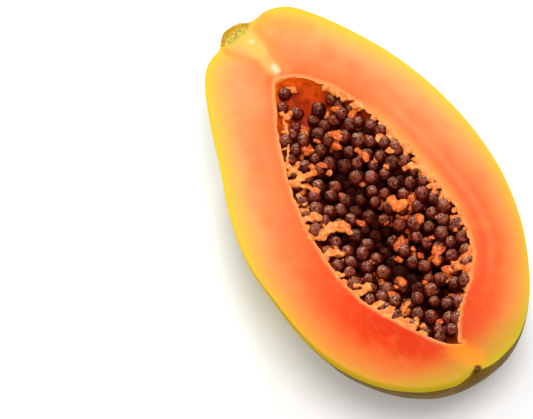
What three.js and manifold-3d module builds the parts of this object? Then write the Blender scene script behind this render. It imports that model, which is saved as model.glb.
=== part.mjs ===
// Half a ripe papaya, cut lengthwise, lying on its rounded back with the seeds still in its hollow.
// Millimetres. X runs from the stem end to the blossom end, Y across the cut, Z up out of the cut.
// The fruit grew as one piece: peel, flesh, stem stub and the threads that held the seeds are one solid.
// The seeds are a second solid, a bunch that lines the hollow and holds together.

import * as THREE from 'three';
import { mergeVertices } from 'three/addons/utils/BufferGeometryUtils.js';
import Module from 'manifold-3d';

// Sides of the cut fruit, as [distance from the stem end, distance from the long axis].
// One side is fuller than the other. Their points match in pairs, and the body is lofted between them.
const FULL_SIDE = [
  [-4.4, 0], [-4.1, 3.8], [-2.0, 7.0], [-1.6, 11.0], [-2.4, 17.0], [1.2, 25.4], [10.5, 32.6],
  [25.1, 40.5], [45.6, 49.2], [68, 55.3], [94, 58.6], [119, 57.8], [141, 53.0], [160, 45.0],
  [176, 35.0], [186.5, 23.6], [190.7, 11.0], [190.4, 3.0], [189.0, 0],
];
const SLIM_SIDE = [
  [-4.4, 0], [-3.9, 4.0], [-0.6, 7.4], [2.6, 10.0], [4.8, 15.6], [9.0, 20.6], [18, 25.8],
  [34.6, 32.4], [53, 38.6], [74, 46.2], [97, 51.2], [119, 51.0], [140, 49.2], [158, 44.2],
  [173.5, 35.0], [184.5, 23.0], [190.2, 10.6], [190.2, 3.0], [189.0, 0],
];
// Faint lengthwise ribs, as a share of the radius.
const RIB_COUNT = 5;
const BODY_RIBS = 0.012;
const BODY_RINGS = 40;
const BODY_SIDES = 44;

// Sides of the hollow, measured the same way from an axis of its own.
const HOLLOW_AXIS_Y = 3;
const HOLLOW_FULL_SIDE = [
  [29, 0], [33, 7.2], [40, 13.4], [51, 19.4], [68, 24.8], [88, 28.2], [108, 29.4],
  [126, 29.8], [141, 26.8], [152, 19.8], [161, 11.4], [170, 4.2], [177, 0],
];
const HOLLOW_SLIM_SIDE = [
  [29, 0], [33, 2.8], [42, 7.4], [53, 12.8], [68, 18.4], [88, 23.8], [108, 25.9],
  [126, 25.4], [141, 22.2], [154, 16.2], [165, 10.6], [172.5, 6.0], [177, 0],
];
const HOLLOW_RIBS = -0.07;
const HOLLOW_RINGS = 26;
const HOLLOW_SIDES = 26;

// Threads left along the lip of the hollow, each as [root x, root y, tip x, tip y], x from the stem end.
const LIP_THREADS = [
  [47, -6.5, 58, -3.5], [55, -9.8, 67, -9.5], [66, -14.5, 79, -9.5], [75, -17.5, 85, -8.0],
  [93, -21.5, 96, -15.0], [97, -22.0, 106, -17.0], [112, -23.0, 116, -13.5], [128, -21.8, 131, -16.0],
  [134, -20.5, 134, -13.0], [143, -18.0, 146, -11.5], [160, -10.0, 154, -4.0],
  [69, 28.2, 70, 24.0], [77, 30.2, 83, 26.0], [91, 31.6, 93, 26.5], [100, 32.0, 108, 28.5],
  [111, 32.8, 109, 24.5], [116, 33.0, 119, 28.0], [131, 32.0, 129, 26.5], [145, 27.5, 146, 17.5],
  [151, 23.0, 145, 15.5],
];
const THREAD_STEPS = 6;
const THREAD_SIDES = 6;
const THREAD_ROOT_DEPTH = 4.5;
const THREAD_LIP_DEPTH = 2.0;
const THREAD_CREST_DEPTH = 1.1;
const THREAD_TIP_DEPTH = 3.2;
const THREAD_ROOT_RADIUS = 1.5;
const THREAD_TIP_RADIUS = 0.8;

// Torn threads that curl up between the seeds from the floor of the hollow, as [x, y] of their tips.
const FLOOR_THREADS = [[69, 9], [81, 16], [108, 14], [119, 19], [138, 15], [138, -2]];
const FLOOR_THREAD_ROOT_DEPTH = 31;
const FLOOR_THREAD_LEAN = 0.5;
const FLOOR_THREAD_RISE = 4.2;
const FLOOR_THREAD_CURL = 3.0;
const FLOOR_THREAD_ROOT_RADIUS = 2.0;
const FLOOR_THREAD_TIP_RADIUS = 1.1;

// The bed that the seeds sit on: shallow along the lip, deep along the middle and at the stem end.
const BED_LIP_DEPTH = 4.6;
const BED_GROOVE_DEPTH = 13.5;
const BED_STEM_X = 50;
const BED_STEM_SLOPE = 0.8;
const BED_LONG_STEPS = 20;
const BED_CROSS_STEPS = 8;
const BED_OVERHANG = 12;
const SEED_GAP_TO_WALL = 0.35;
const SEED_GAP_TO_THREAD = 0.35;

const SEED_TRIES = 5000;
const SEED_FIRST_SPACING = 5.0;
const SEED_RADIUS_SMALL = 2.7;
const SEED_RADIUS_LARGE = 3.4;
const SEED_SLIMNESS = 0.92;
const SEED_FACET_SWELL = 1.08;
const SEED_LIFT_LOW = 1.0;
const SEED_LIFT_HIGH = 3.2;
const SEEDS_FROM_X = 37;
const SEEDS_TO_X = 170;
const SEEDS_ACROSS_Y = [-23, 33];
const SEED_TOUCH = 0.96;
const SEED_LIP_SHARE = 0.85;
const SETTLE_ROUNDS = 60;
const RANDOM_SEED = 20261;

const FLAT_SPOT_DEPTH = 0.9;
const WORK_BLOCK = 400;

const wasm = await Module();
wasm.setup();

// Solids in and out of the boolean library

function solidFrom(geometry) {
  const bare = new THREE.BufferGeometry();
  bare.setAttribute('position', geometry.getAttribute('position'));
  bare.setIndex(geometry.getIndex());
  const merged = mergeVertices(bare);
  return new wasm.Manifold(new wasm.Mesh({
    numProp: 3,
    vertProperties: new Float32Array(merged.getAttribute('position').array),
    triVerts: new Uint32Array(merged.getIndex().array),
  }));
}

function geometryFrom(solid) {
  const mesh = solid.getMesh();
  const geometry = new THREE.BufferGeometry();
  geometry.setAttribute('position', new THREE.BufferAttribute(mesh.vertProperties, mesh.numProp));
  geometry.setIndex(new THREE.BufferAttribute(mesh.triVerts, 1));
  geometry.computeVertexNormals();
  return geometry;
}

// The same draws on every run

function makeRandom(seed) {
  let state = seed;
  return () => {
    state = (state * 16807) % 2147483647;
    return state / 2147483647;
  };
}

// A form lofted round the long axis between its two sides

function sideCurve(points) {
  return new THREE.SplineCurve(points.map(([x, r]) => new THREE.Vector2(x, r)));
}

function makeForm(fullSide, slimSide, axisY, ribs) {
  const full = sideCurve(fullSide);
  const slim = sideCurve(slimSide);
  // place goes from 0 at the stem end to 1 at the blossom end, turn is the angle round the axis
  const profileAt = (place, turn) => {
    const share = (1 - Math.cos(turn)) / 2;
    const p = full.getPoint(place).lerp(slim.getPoint(place), share);
    return new THREE.Vector2(p.x, Math.max(p.y, 0));
  };
  const wallAt = (place, turn, inset = 0) => {
    const p = profileAt(place, turn);
    const radius = Math.max(p.y * (1 + ribs * Math.sin(RIB_COUNT * turn)) - inset, 0);
    return new THREE.Vector3(p.x, axisY + radius * Math.cos(turn), radius * Math.sin(turn));
  };
  // the two edges of the cut at a distance from the stem end
  const edgesAt = (x) => ({ high: axisY + radiusAt(full, x), low: axisY - radiusAt(slim, x) });
  return { wallAt, edgesAt };
}

function radiusAt(curve, x) {
  let before = 0;
  let after = 1;
  for (let halving = 0; halving < 24; halving += 1) {
    const middle = (before + after) / 2;
    if (curve.getPoint(middle).x < x) before = middle;
    else after = middle;
  }
  return Math.max(curve.getPoint(before).y, 0);
}

function loftGeometry(form, rings, sides, inset = 0) {
  const geometry = new THREE.SphereGeometry(1, sides, rings);
  const position = geometry.getAttribute('position');
  const uv = geometry.getAttribute('uv');
  for (let i = 0; i < position.count; i += 1) {
    const place = THREE.MathUtils.clamp(1 - uv.getY(i), 0, 1);
    const wall = form.wallAt(place, -2 * Math.PI * uv.getX(i), inset);
    position.setXYZ(i, wall.x, wall.y, wall.z);
  }
  return geometry;
}

// A block with its faces at given places

function blockGeometry(low, high) {
  const size = high.clone().sub(low);
  const block = new THREE.BoxGeometry(size.x, size.y, size.z);
  const middle = low.clone().add(high).multiplyScalar(0.5);
  return block.translate(middle.x, middle.y, middle.z);
}

// A tapering finger bent along a path

function fingerGeometry(path, rootRadius, tipRadius, grow) {
  const frames = path.computeFrenetFrames(THREAD_STEPS);
  const geometry = new THREE.CylinderGeometry(1, 1, 1, THREAD_SIDES, THREAD_STEPS);
  const position = geometry.getAttribute('position');
  for (let i = 0; i < position.count; i += 1) {
    const along = position.getY(i) + 0.5;
    const step = Math.round(along * THREAD_STEPS);
    const radius = THREE.MathUtils.lerp(rootRadius, tipRadius, along) + grow;
    const point = path.getPointAt(along);
    point.addScaledVector(frames.binormals[step], position.getX(i) * radius);
    point.addScaledVector(frames.normals[step], position.getZ(i) * radius);
    if (along > 1 - 1e-6) point.addScaledVector(frames.tangents[step], grow);
    position.setXYZ(i, point.x, point.y, point.z);
  }
  return geometry;
}

function lipThread([rootX, rootY, tipX, tipY], grow = 0) {
  const outward = Math.sign(rootY - HOLLOW_AXIS_Y);
  const path = new THREE.CatmullRomCurve3([
    new THREE.Vector3(rootX, rootY + outward * THREAD_ROOT_DEPTH, -THREAD_ROOT_DEPTH),
    new THREE.Vector3(rootX, rootY, -THREAD_LIP_DEPTH),
    new THREE.Vector3((rootX + tipX) / 2, (rootY + tipY) / 2, -THREAD_CREST_DEPTH),
    new THREE.Vector3(tipX, tipY, -THREAD_TIP_DEPTH),
  ]);
  return fingerGeometry(path, THREAD_ROOT_RADIUS, THREAD_TIP_RADIUS, grow);
}

// The papaya

const body = makeForm(FULL_SIDE, SLIM_SIDE, 0, BODY_RIBS);
const hollow = makeForm(HOLLOW_FULL_SIDE, HOLLOW_SLIM_SIDE, HOLLOW_AXIS_Y, HOLLOW_RIBS);

// How deep the bed of the seeds lies under the cut

function bedDepth(x, y) {
  const { low, high } = hollow.edgesAt(x);
  const side = THREE.MathUtils.clamp((2 * y - low - high) / Math.max(high - low, 1), -1, 1);
  const bowl = BED_LIP_DEPTH + (BED_GROOVE_DEPTH - BED_LIP_DEPTH) * (1 - side * side) ** 1.5;
  return bowl + BED_STEM_SLOPE * Math.max(BED_STEM_X - x, 0);
}

function floorThread([tipX, tipY], grow = 0) {
  const rootY = tipY - FLOOR_THREAD_LEAN * (tipY - HOLLOW_AXIS_Y);
  const crest = FLOOR_THREAD_RISE - bedDepth(tipX, tipY);
  const path = new THREE.CatmullRomCurve3([
    new THREE.Vector3(tipX, rootY, -FLOOR_THREAD_ROOT_DEPTH),
    new THREE.Vector3(tipX - FLOOR_THREAD_CURL, (rootY + tipY) / 2, (crest - FLOOR_THREAD_ROOT_DEPTH) / 2),
    new THREE.Vector3(tipX - FLOOR_THREAD_CURL, tipY, crest),
    new THREE.Vector3(tipX, tipY, crest + FLOOR_THREAD_CURL),
  ]);
  return fingerGeometry(path, FLOOR_THREAD_ROOT_RADIUS, FLOOR_THREAD_TIP_RADIUS, grow);
}

function threadGeometries(grow) {
  const alongLip = LIP_THREADS.map((row) => lipThread(row, grow));
  const onFloor = FLOOR_THREADS.map((row) => floorThread(row, grow));
  return [...alongLip, ...onFloor];
}

function makeFruit() {
  const whole = solidFrom(loftGeometry(body, BODY_RINGS, BODY_SIDES));
  const lowest = whole.boundingBox().min[2] + FLAT_SPOT_DEPTH;
  const keep = blockGeometry(
    new THREE.Vector3(-WORK_BLOCK, -WORK_BLOCK, lowest),
    new THREE.Vector3(WORK_BLOCK, WORK_BLOCK, 0),
  );
  let fruit = whole.intersect(solidFrom(keep));
  fruit = fruit.subtract(solidFrom(loftGeometry(hollow, HOLLOW_RINGS, HOLLOW_SIDES)));
  for (const thread of threadGeometries(0)) {
    fruit = fruit.add(solidFrom(thread));
  }
  return fruit;
}

// Seeds thrown into the opening at random, then nudged apart until they only just touch

function throwSeeds() {
  const random = makeRandom(RANDOM_SEED);
  const between = (low, high) => THREE.MathUtils.lerp(low, high, random());
  const seeds = [];
  for (let i = 0; i < SEED_TRIES; i += 1) {
    const spot = new THREE.Vector3(between(SEEDS_FROM_X, SEEDS_TO_X), between(...SEEDS_ACROSS_Y), 0);
    const { low, high } = hollow.edgesAt(spot.x);
    const isClear = seeds.every((other) => other.thrown.distanceTo(spot) > SEED_FIRST_SPACING);
    if (spot.y > low && spot.y < high && isClear) {
      seeds.push({
        spot,
        thrown: spot.clone(),
        radius: between(SEED_RADIUS_SMALL, SEED_RADIUS_LARGE),
        lift: between(SEED_LIFT_LOW, SEED_LIFT_HIGH),
        heading: between(0, Math.PI),
        tilt: between(0, Math.PI),
      });
    }
  }
  return seeds;
}

function settleOnBed({ spot, radius, lift }) {
  const room = radius * SEED_LIP_SHARE;
  const { low, high } = hollow.edgesAt(spot.x);
  const middle = (low + high) / 2;
  spot.x = THREE.MathUtils.clamp(spot.x, SEEDS_FROM_X, SEEDS_TO_X);
  spot.y = THREE.MathUtils.clamp(spot.y, Math.min(low + room, middle), Math.max(high - room, middle));
  spot.z = lift - bedDepth(spot.x, spot.y);
}

function pushApart(one, other) {
  const apart = one.spot.distanceTo(other.spot);
  const overlap = SEED_TOUCH * (one.radius + other.radius) - apart;
  if (overlap > 0) {
    const push = new THREE.Vector3().subVectors(one.spot, other.spot).setZ(0);
    push.setLength(overlap / 2);
    one.spot.add(push);
    other.spot.sub(push);
  }
}

function settledSeeds() {
  const seeds = throwSeeds();
  seeds.forEach(settleOnBed);
  for (let round = 0; round < SETTLE_ROUNDS; round += 1) {
    for (let i = 0; i < seeds.length; i += 1) {
      for (let j = i + 1; j < seeds.length; j += 1) {
        pushApart(seeds[i], seeds[j]);
      }
    }
    seeds.forEach(settleOnBed);
  }
  return seeds;
}

function seedGeometry({ spot, radius, heading, tilt }) {
  const seed = new THREE.IcosahedronGeometry(radius * SEED_FACET_SWELL);
  seed.scale(SEED_SLIMNESS, 1, SEED_SLIMNESS);
  seed.rotateX(tilt);
  seed.rotateZ(heading);
  return seed.translate(spot.x, spot.y, spot.z);
}

// A block whose underside is the bed of the seeds, to be cut off the filled hollow

function aboveBedGeometry() {
  const block = new THREE.BoxGeometry(1, 1, 1, BED_LONG_STEPS, BED_CROSS_STEPS, 1);
  const position = block.getAttribute('position');
  for (let i = 0; i < position.count; i += 1) {
    const [from, to] = [SEEDS_FROM_X - BED_OVERHANG, SEEDS_TO_X + BED_OVERHANG];
    const x = THREE.MathUtils.lerp(from, to, position.getX(i) + 0.5);
    const { low, high } = hollow.edgesAt(x);
    const y = (low + high) / 2 + position.getY(i) * (high - low + BED_OVERHANG);
    position.setXYZ(i, x, y, position.getZ(i) > 0 ? WORK_BLOCK : -bedDepth(x, y));
  }
  return block;
}

function makeSeeds() {
  const room = solidFrom(loftGeometry(hollow, HOLLOW_RINGS, HOLLOW_SIDES, SEED_GAP_TO_WALL));
  let bunch = room.subtract(solidFrom(aboveBedGeometry()));
  for (const seed of settledSeeds()) {
    bunch = bunch.add(solidFrom(seedGeometry(seed)));
  }
  bunch = bunch.intersect(room);
  for (const thread of threadGeometries(SEED_GAP_TO_THREAD)) {
    bunch = bunch.subtract(solidFrom(thread));
  }
  const pieces = bunch.decompose();
  return pieces.reduce((largest, piece) => (piece.volume() > largest.volume() ? piece : largest));
}

const fruitGeometry = geometryFrom(makeFruit());
const seedsGeometry = geometryFrom(makeSeeds());

const fleshMaterial = new THREE.MeshStandardMaterial({ color: 0xf7864a, roughness: 0.35, metalness: 0 });
const seedMaterial = new THREE.MeshStandardMaterial({ color: 0x4a2a24, roughness: 0.3, metalness: 0 });

const fruitMesh = new THREE.Mesh(fruitGeometry, fleshMaterial);
fruitMesh.name = 'papaya_half';
const seedsMesh = new THREE.Mesh(seedsGeometry, seedMaterial);
seedsMesh.name = 'seeds';

// Stand the flat spot on the ground, with the middle of the fruit over the origin

fruitGeometry.computeBoundingBox();
const box = fruitGeometry.boundingBox;
const papaya = new THREE.Group();
papaya.position.set(-(box.min.x + box.max.x) / 2, -(box.min.y + box.max.y) / 2, -box.min.z);
papaya.add(fruitMesh, seedsMesh);

export default papaya;
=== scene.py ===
# %% [markdown]
# Half a ripe papaya, cut lengthwise and laid on its back, with the seeds still in its hollow.
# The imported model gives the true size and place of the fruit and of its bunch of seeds.
# Here each of them gets its finished form and its surface: waxy peel, wet flesh, torn threads, shiny seeds.

# %% Load the frame
import math

import bpy
import numpy as np
from mathutils import Matrix, Quaternion, Vector, noise
from mathutils.bvhtree import BVHTree
from mathutils.kdtree import KDTree


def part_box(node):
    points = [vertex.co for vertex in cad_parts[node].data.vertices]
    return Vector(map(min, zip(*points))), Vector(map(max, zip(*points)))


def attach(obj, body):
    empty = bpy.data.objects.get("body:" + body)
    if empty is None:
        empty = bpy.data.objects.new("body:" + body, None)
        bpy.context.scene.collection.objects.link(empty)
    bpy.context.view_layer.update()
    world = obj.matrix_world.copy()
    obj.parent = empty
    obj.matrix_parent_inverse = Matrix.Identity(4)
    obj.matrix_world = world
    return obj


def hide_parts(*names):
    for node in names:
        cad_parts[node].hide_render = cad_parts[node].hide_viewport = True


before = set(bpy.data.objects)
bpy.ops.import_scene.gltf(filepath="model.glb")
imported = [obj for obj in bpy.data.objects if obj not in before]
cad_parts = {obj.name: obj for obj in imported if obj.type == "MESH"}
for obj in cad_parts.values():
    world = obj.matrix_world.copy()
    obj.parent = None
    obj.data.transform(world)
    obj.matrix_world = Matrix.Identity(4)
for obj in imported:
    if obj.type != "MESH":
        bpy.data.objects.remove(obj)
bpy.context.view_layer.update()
MM = 0.001

# %% [markdown]
# A cut papaya is not a turned form: one side of its outline is fuller than the other.
# It could be traced with one curve, but a fruit is easier to control as two sides that share one long axis.
# Each side is a short list of [distance from the stem end, distance from the axis] in millimetres, joined
# by a smooth spline. The points of the two sides match in pairs, so a surface can be lofted between them.

# %% The two sides of the fruit and of its hollow
FULL_SIDE = [
    (-4.4, 0), (-4.1, 3.8), (-2.0, 7.0), (-1.6, 11.0), (-2.4, 17.0), (1.2, 25.4), (10.5, 32.6),
    (25.1, 40.5), (45.6, 49.2), (68, 55.3), (94, 58.6), (119, 57.8), (141, 53.0), (160, 45.0),
    (176, 35.0), (186.5, 23.6), (190.7, 11.0), (190.4, 3.0), (189.0, 0),
]
SLIM_SIDE = [
    (-4.4, 0), (-3.9, 4.0), (-0.6, 7.4), (2.6, 10.0), (4.8, 15.6), (9.0, 20.6), (18, 25.8),
    (34.6, 32.4), (53, 38.6), (74, 46.2), (97, 51.2), (119, 51.0), (140, 49.2), (158, 44.2),
    (173.5, 35.0), (184.5, 23.0), (190.2, 10.6), (190.2, 3.0), (189.0, 0),
]
HOLLOW_FULL_SIDE = [
    (29, 0), (33, 7.2), (40, 13.4), (51, 19.4), (68, 24.8), (88, 28.2), (108, 29.4),
    (126, 29.8), (141, 26.8), (152, 19.8), (161, 11.4), (170, 4.2), (177, 0),
]
HOLLOW_SLIM_SIDE = [
    (29, 0), (33, 2.8), (42, 7.4), (53, 12.8), (68, 18.4), (88, 23.8), (108, 25.9),
    (126, 25.4), (141, 22.2), (154, 16.2), (165, 10.6), (172.5, 6.0), (177, 0),
]
HOLLOW_AXIS_Y = 3
RIB_COUNT = 5
BODY_RIBS = 0.012
HOLLOW_RIBS = -0.07


def spline(points, places):
    """Points of a smooth curve through a short list, at places from 0 to 1."""
    p = np.array(points, float)
    last = len(p) - 1
    at = np.clip(np.asarray(places, float), 0, 1) * last
    i = np.minimum(at.astype(int), last)
    w = (at - i)[..., None]
    before, here = p[np.maximum(i - 1, 0)], p[i]
    after, beyond = p[np.minimum(i + 1, last)], p[np.minimum(i + 2, last)]
    leave, arrive = (after - before) / 2, (beyond - here) / 2
    return (
        (2 * here - 2 * after + leave + arrive) * w**3
        + (3 * after - 3 * here - 2 * leave - arrive) * w**2
        + leave * w
        + here
    )


def wall(full, slim, axis_y, ribs, places, turns):
    """Points on a form lofted between its two sides, in millimetres, the cut lying at height 0."""
    share = ((1 - np.cos(turns)) / 2)[..., None]
    profile = spline(full, places) * (1 - share) + spline(slim, places) * share
    radius = np.maximum(profile[..., 1], 0) * (1 + ribs * np.sin(RIB_COUNT * turns))
    across = axis_y + radius * np.cos(turns)
    return np.stack([profile[..., 0], across, radius * np.sin(turns)], axis=-1)


def body_wall(places, turns):
    return wall(FULL_SIDE, SLIM_SIDE, 0, BODY_RIBS, places, turns)


def hollow_wall(places, turns):
    return wall(HOLLOW_FULL_SIDE, HOLLOW_SLIM_SIDE, HOLLOW_AXIS_Y, HOLLOW_RIBS, places, turns)


outline_y = body_wall(np.linspace(0, 1, 600)[:, None], np.array([[0.0, math.pi]]))[..., 1]
fruit_low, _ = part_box("papaya_half")
widest = max(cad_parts["papaya_half"].data.vertices, key=lambda v: v.co.y)
CUT_HEIGHT = widest.co.z / MM
STEM_X = fruit_low.x / MM - FULL_SIDE[0][0]
AXIS_Y = -(outline_y.max() + outline_y.min()) / 2
print(f"cut face at {CUT_HEIGHT:.2f} mm, stem end at x {STEM_X:.2f} mm, long axis at y {AXIS_Y:.2f} mm")


def to_frame(points):
    """From millimetres along, across and above the cut to metres in the frame."""
    return (np.asarray(points, float) + [STEM_X, AXIS_Y, CUT_HEIGHT]) * MM


# %% [markdown]
# The camera comes early, so that every later step can be looked at from the same place.
# It looks steeply down on the cut face, and is turned a little about its own line of sight,
# which is why the fruit lies aslant in the frame. The fruit also sits right of the middle:
# a lens shift could do that, but aiming the camera past the fruit keeps the shift at zero.

# %% The camera
IMAGE_WIDTH, IMAGE_HEIGHT = 533, 419
TARGET_PIXEL = (367, 200)
TARGET = Vector(to_frame([101.1, 4.8, 0]))
FOCAL_PIXELS = 2175
SENSOR_WIDTH = 36.0
CAMERA_DISTANCE = 0.9
CAMERA_AZIMUTH, CAMERA_ELEVATION, CAMERA_ROLL = map(math.radians, (71.73, 63.0, -15.0))

back = Vector((
    math.sin(CAMERA_AZIMUTH) * math.cos(CAMERA_ELEVATION),
    -math.cos(CAMERA_AZIMUTH) * math.cos(CAMERA_ELEVATION),
    math.sin(CAMERA_ELEVATION),
))
bpy.ops.object.select_all(action="DESELECT")
bpy.ops.object.camera_add(location=TARGET + back * CAMERA_DISTANCE)
camera = bpy.context.object
camera.name = "camera"
camera.data.sensor_width = SENSOR_WIDTH
camera.data.lens = FOCAL_PIXELS * SENSOR_WIDTH / IMAGE_WIDTH
aim = (-back).to_track_quat("-Z", "Y") @ Quaternion((0, 0, 1), CAMERA_ROLL)
off_centre = Vector((
    TARGET_PIXEL[0] - IMAGE_WIDTH / 2,
    IMAGE_HEIGHT / 2 - TARGET_PIXEL[1],
    -FOCAL_PIXELS,
))
camera.rotation_mode = "QUATERNION"
camera.rotation_quaternion = aim @ off_centre.rotation_difference(Vector((0, 0, -1)))
bpy.context.scene.camera = camera
bpy.context.scene.view_settings.view_transform = "Standard"


def under_pixel(column, row, height):
    """The place, in millimetres, that a pixel of the picture shows at a height above the cut."""
    ray = camera.rotation_quaternion @ Vector((
        column - IMAGE_WIDTH / 2,
        IMAGE_HEIGHT / 2 - row,
        -FOCAL_PIXELS,
    ))
    level = (CUT_HEIGHT + height) * MM
    at = camera.location + ray * ((level - camera.location.z) / ray.z)
    return at.x / MM - STEM_X, at.y / MM - AXIS_Y


aimed_at = [round(place, 1) for place in under_pixel(*TARGET_PIXEL, 0)]
print(f"camera {CAMERA_DISTANCE} m away, lens {camera.data.lens:.1f} mm, aimed at {aimed_at}")

# %% [markdown]
# The fruit lies on a plain white table in soft daylight. One sun would be simplest, but its shadow is hard.
# So a bright even surround does most of the work and keeps the shadows pale. A key lamp, high above the
# fruit and a little to the viewer's side, gives the sheen on the wet cut and the soft shadow beside it.
# A lamp behind the stem end adds the glints on the seeds, and a weak wide one lifts the darkest places.

# %% The table and the light
FLOOR_SIZE = 6.0
SURROUND_STRENGTH = 0.66


def lamp(name, direction, distance, size, power):
    """A square lamp that shines at the fruit from a direction."""
    toward = Vector(direction).normalized()
    bpy.ops.object.select_all(action="DESELECT")
    bpy.ops.object.light_add(type="AREA", location=toward * distance)
    light = bpy.context.object
    light.name = name
    light.rotation_mode = "QUATERNION"
    light.rotation_quaternion = (-toward).to_track_quat("-Z", "Y")
    light.data.shape = "SQUARE"
    light.data.size = size
    light.data.energy = power
    return light


bpy.ops.object.select_all(action="DESELECT")
bpy.ops.mesh.primitive_plane_add(size=FLOOR_SIZE)
floor = bpy.context.object
floor.name = "floor"
lamp("key_lamp", (0.26, 0.04, 0.96), 1.1, 0.34, 5.7)
lamp("back_lamp", (-0.6, 0.3, 0.74), 1.2, 0.26, 3.4)
lamp("fill_lamp", (-0.3, -0.9, 0.6), 1.4, 0.9, 0.8)
surround = bpy.data.worlds.new("surround")
surround.use_nodes = True
surround.node_tree.nodes["Background"].inputs["Color"].default_value = (1.0, 1.0, 1.0, 1)
surround.node_tree.nodes["Background"].inputs["Strength"].default_value = SURROUND_STRENGTH
bpy.context.scene.world = surround

# %% [markdown]
# Most of the work on a form like this is moving the points of a plain primitive onto a surface.
# These helpers read all the points of a mesh at once, and put them back after a change.

# %% Helpers that move points


def read_points(piece):
    flat = np.empty(len(piece.data.vertices) * 3, np.float32)
    piece.data.vertices.foreach_get("co", flat)
    return flat.reshape(-1, 3).astype(float)


def move_points(piece, points):
    piece.data.vertices.foreach_set("co", np.asarray(points, np.float32).ravel())
    piece.data.update()


def store(piece, name, values):
    """Keeps one number for each point, for the materials to read."""
    layer = piece.data.attributes.get(name) or piece.data.attributes.new(name, "FLOAT", "POINT")
    layer.data.foreach_set("value", np.asarray(values, np.float32))


def ripple(points, size, seed, octaves=2):
    """Smooth noise from about -1 to 1 at points in millimetres, with features of a given size."""
    offset = Vector((seed * 7.3, seed * 3.1, seed * 5.7))
    return np.array([
        noise.fractal(Vector(p) / size + offset, 0.8, 2.0, octaves, noise_basis="PERLIN_ORIGINAL")
        for p in points
    ])


def add_sphere(sides, rings):
    bpy.ops.object.select_all(action="DESELECT")
    bpy.ops.mesh.primitive_uv_sphere_add(segments=sides, ring_count=rings, radius=1)
    return bpy.context.object


def join(pieces, name):
    """Makes one piece of several, under a name of its own."""
    bpy.ops.object.select_all(action="DESELECT")
    for piece in pieces:
        piece.select_set(True)
    bpy.context.view_layer.objects.active = pieces[0]
    bpy.ops.object.join()
    pieces[0].name = name
    pieces[0].data.name = name
    return pieces[0]


def smoothstep(low, high, x):
    """A soft step from 0 to 1 between two values, which may run downwards too."""
    t = np.clip((x - low) / (high - low), 0, 1)
    return t * t * (3 - 2 * t)


# %% [markdown]
# The rounded back and the hollow are both made the same way: a sphere laid on its side, with its poles at
# the stem end and the blossom end, is bisected along the cut, and its rings are then moved onto the form.
# Spacing the rings evenly along the outline keeps the faces square from end to end.

# %% The back and the hollow
RINGS = 250
BACK_SIDES = 128
HOLLOW_SIDES = 112


def even_places(form, count):
    """Places from 0 to 1 that lie evenly spaced along a form's outline."""
    fine = np.linspace(0, 1, 2400)
    line = form(fine, np.full(fine.shape, -math.pi / 2))
    run = np.concatenate([[0], np.cumsum(np.linalg.norm(np.diff(line, axis=0), axis=1))])
    return np.interp(np.linspace(0, run[-1], count), run, fine)


def half_form(form, sides, name):
    piece = add_sphere(sides, RINGS)
    piece.name = name
    bpy.ops.object.mode_set(mode="EDIT")
    bpy.ops.mesh.select_all(action="SELECT")
    bpy.ops.transform.rotate(value=math.pi / 2, orient_axis="Y", center_override=(0, 0, 0))
    bpy.ops.mesh.select_all(action="SELECT")
    bpy.ops.mesh.bisect(plane_co=(0, 0, 0), plane_no=(0, 0, 1), clear_outer=True)
    bpy.ops.object.mode_set(mode="OBJECT")
    x, y, z = read_points(piece).T
    ring = np.rint(np.arccos(np.clip(-x, -1, 1)) / math.pi * RINGS).astype(int)
    turns = np.arctan2(np.minimum(z, 0), y)
    turns[(np.abs(z) < 1e-5) & (y < 0)] = -math.pi
    points = form(even_places(form, RINGS + 1)[ring], turns)
    points[np.abs(z) < 1e-5, 2] = 0
    move_points(piece, points)
    return piece


fruit = half_form(body_wall, BACK_SIDES, "papaya_fruit")
hollow = half_form(hollow_wall, HOLLOW_SIDES, "hollow")
print("back:", len(fruit.data.polygons), "faces; hollow:", len(hollow.data.polygons), "faces")

# %% [markdown]
# The knife left one flat cut face between the peel and the hollow. It could be filled with one large face,
# but the colour and the slight relief of the flesh need points to hang on. A bridge between the two open
# edges, with many cuts in it, makes rings that follow the outline of the fruit and the lip of the hollow.
# A bridge pairs two rings wrongly when both lie in one plane, so the hollow is lowered while it is made.

# %% The cut face
FACE_RINGS = 38
LOWERED = 100.0

peel = bpy.data.materials.new("papaya_peel")
flesh = bpy.data.materials.new("papaya_flesh")
fruit.data.materials.append(peel)
hollow.data.materials.append(flesh)
back_count, hollow_count = len(fruit.data.vertices), len(hollow.data.vertices)
move_points(hollow, read_points(hollow) - [0, 0, LOWERED])
bpy.ops.object.select_all(action="DESELECT")
hollow.select_set(True)
fruit.select_set(True)
bpy.context.view_layer.objects.active = fruit
bpy.ops.object.join()
bpy.ops.object.mode_set(mode="EDIT")
bpy.ops.mesh.select_mode(type="EDGE")
bpy.ops.mesh.select_all(action="DESELECT")
bpy.ops.mesh.select_non_manifold(extend=False, use_wire=False, use_multi_face=False,
                                 use_non_contiguous=False, use_verts=False)
bpy.ops.mesh.bridge_edge_loops(type="SINGLE", number_cuts=FACE_RINGS, interpolation="LINEAR")
bpy.ops.mesh.select_all(action="SELECT")
bpy.ops.mesh.normals_make_consistent(inside=False)
bpy.ops.object.mode_set(mode="OBJECT")
points = read_points(fruit)
points[back_count:back_count + hollow_count, 2] += LOWERED
points[back_count + hollow_count:, 2] = 0
move_points(fruit, points)
for face in fruit.data.polygons:
    if abs(face.center.z) < 1e-3:
        face.material_index = 1
print("fruit:", len(fruit.data.polygons), "faces, materials", [m.name for m in fruit.data.materials])

# %% [markdown]
# Where a point lies between the peel and the hollow decides its colour and its relief: yellow under the
# peel, redder inwards, pale and torn at the lip. So the distances to the rim and to the lip are measured
# once. They could be worked out anew in each material, but one measure serves them all.

# %% Where each point lies


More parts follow.
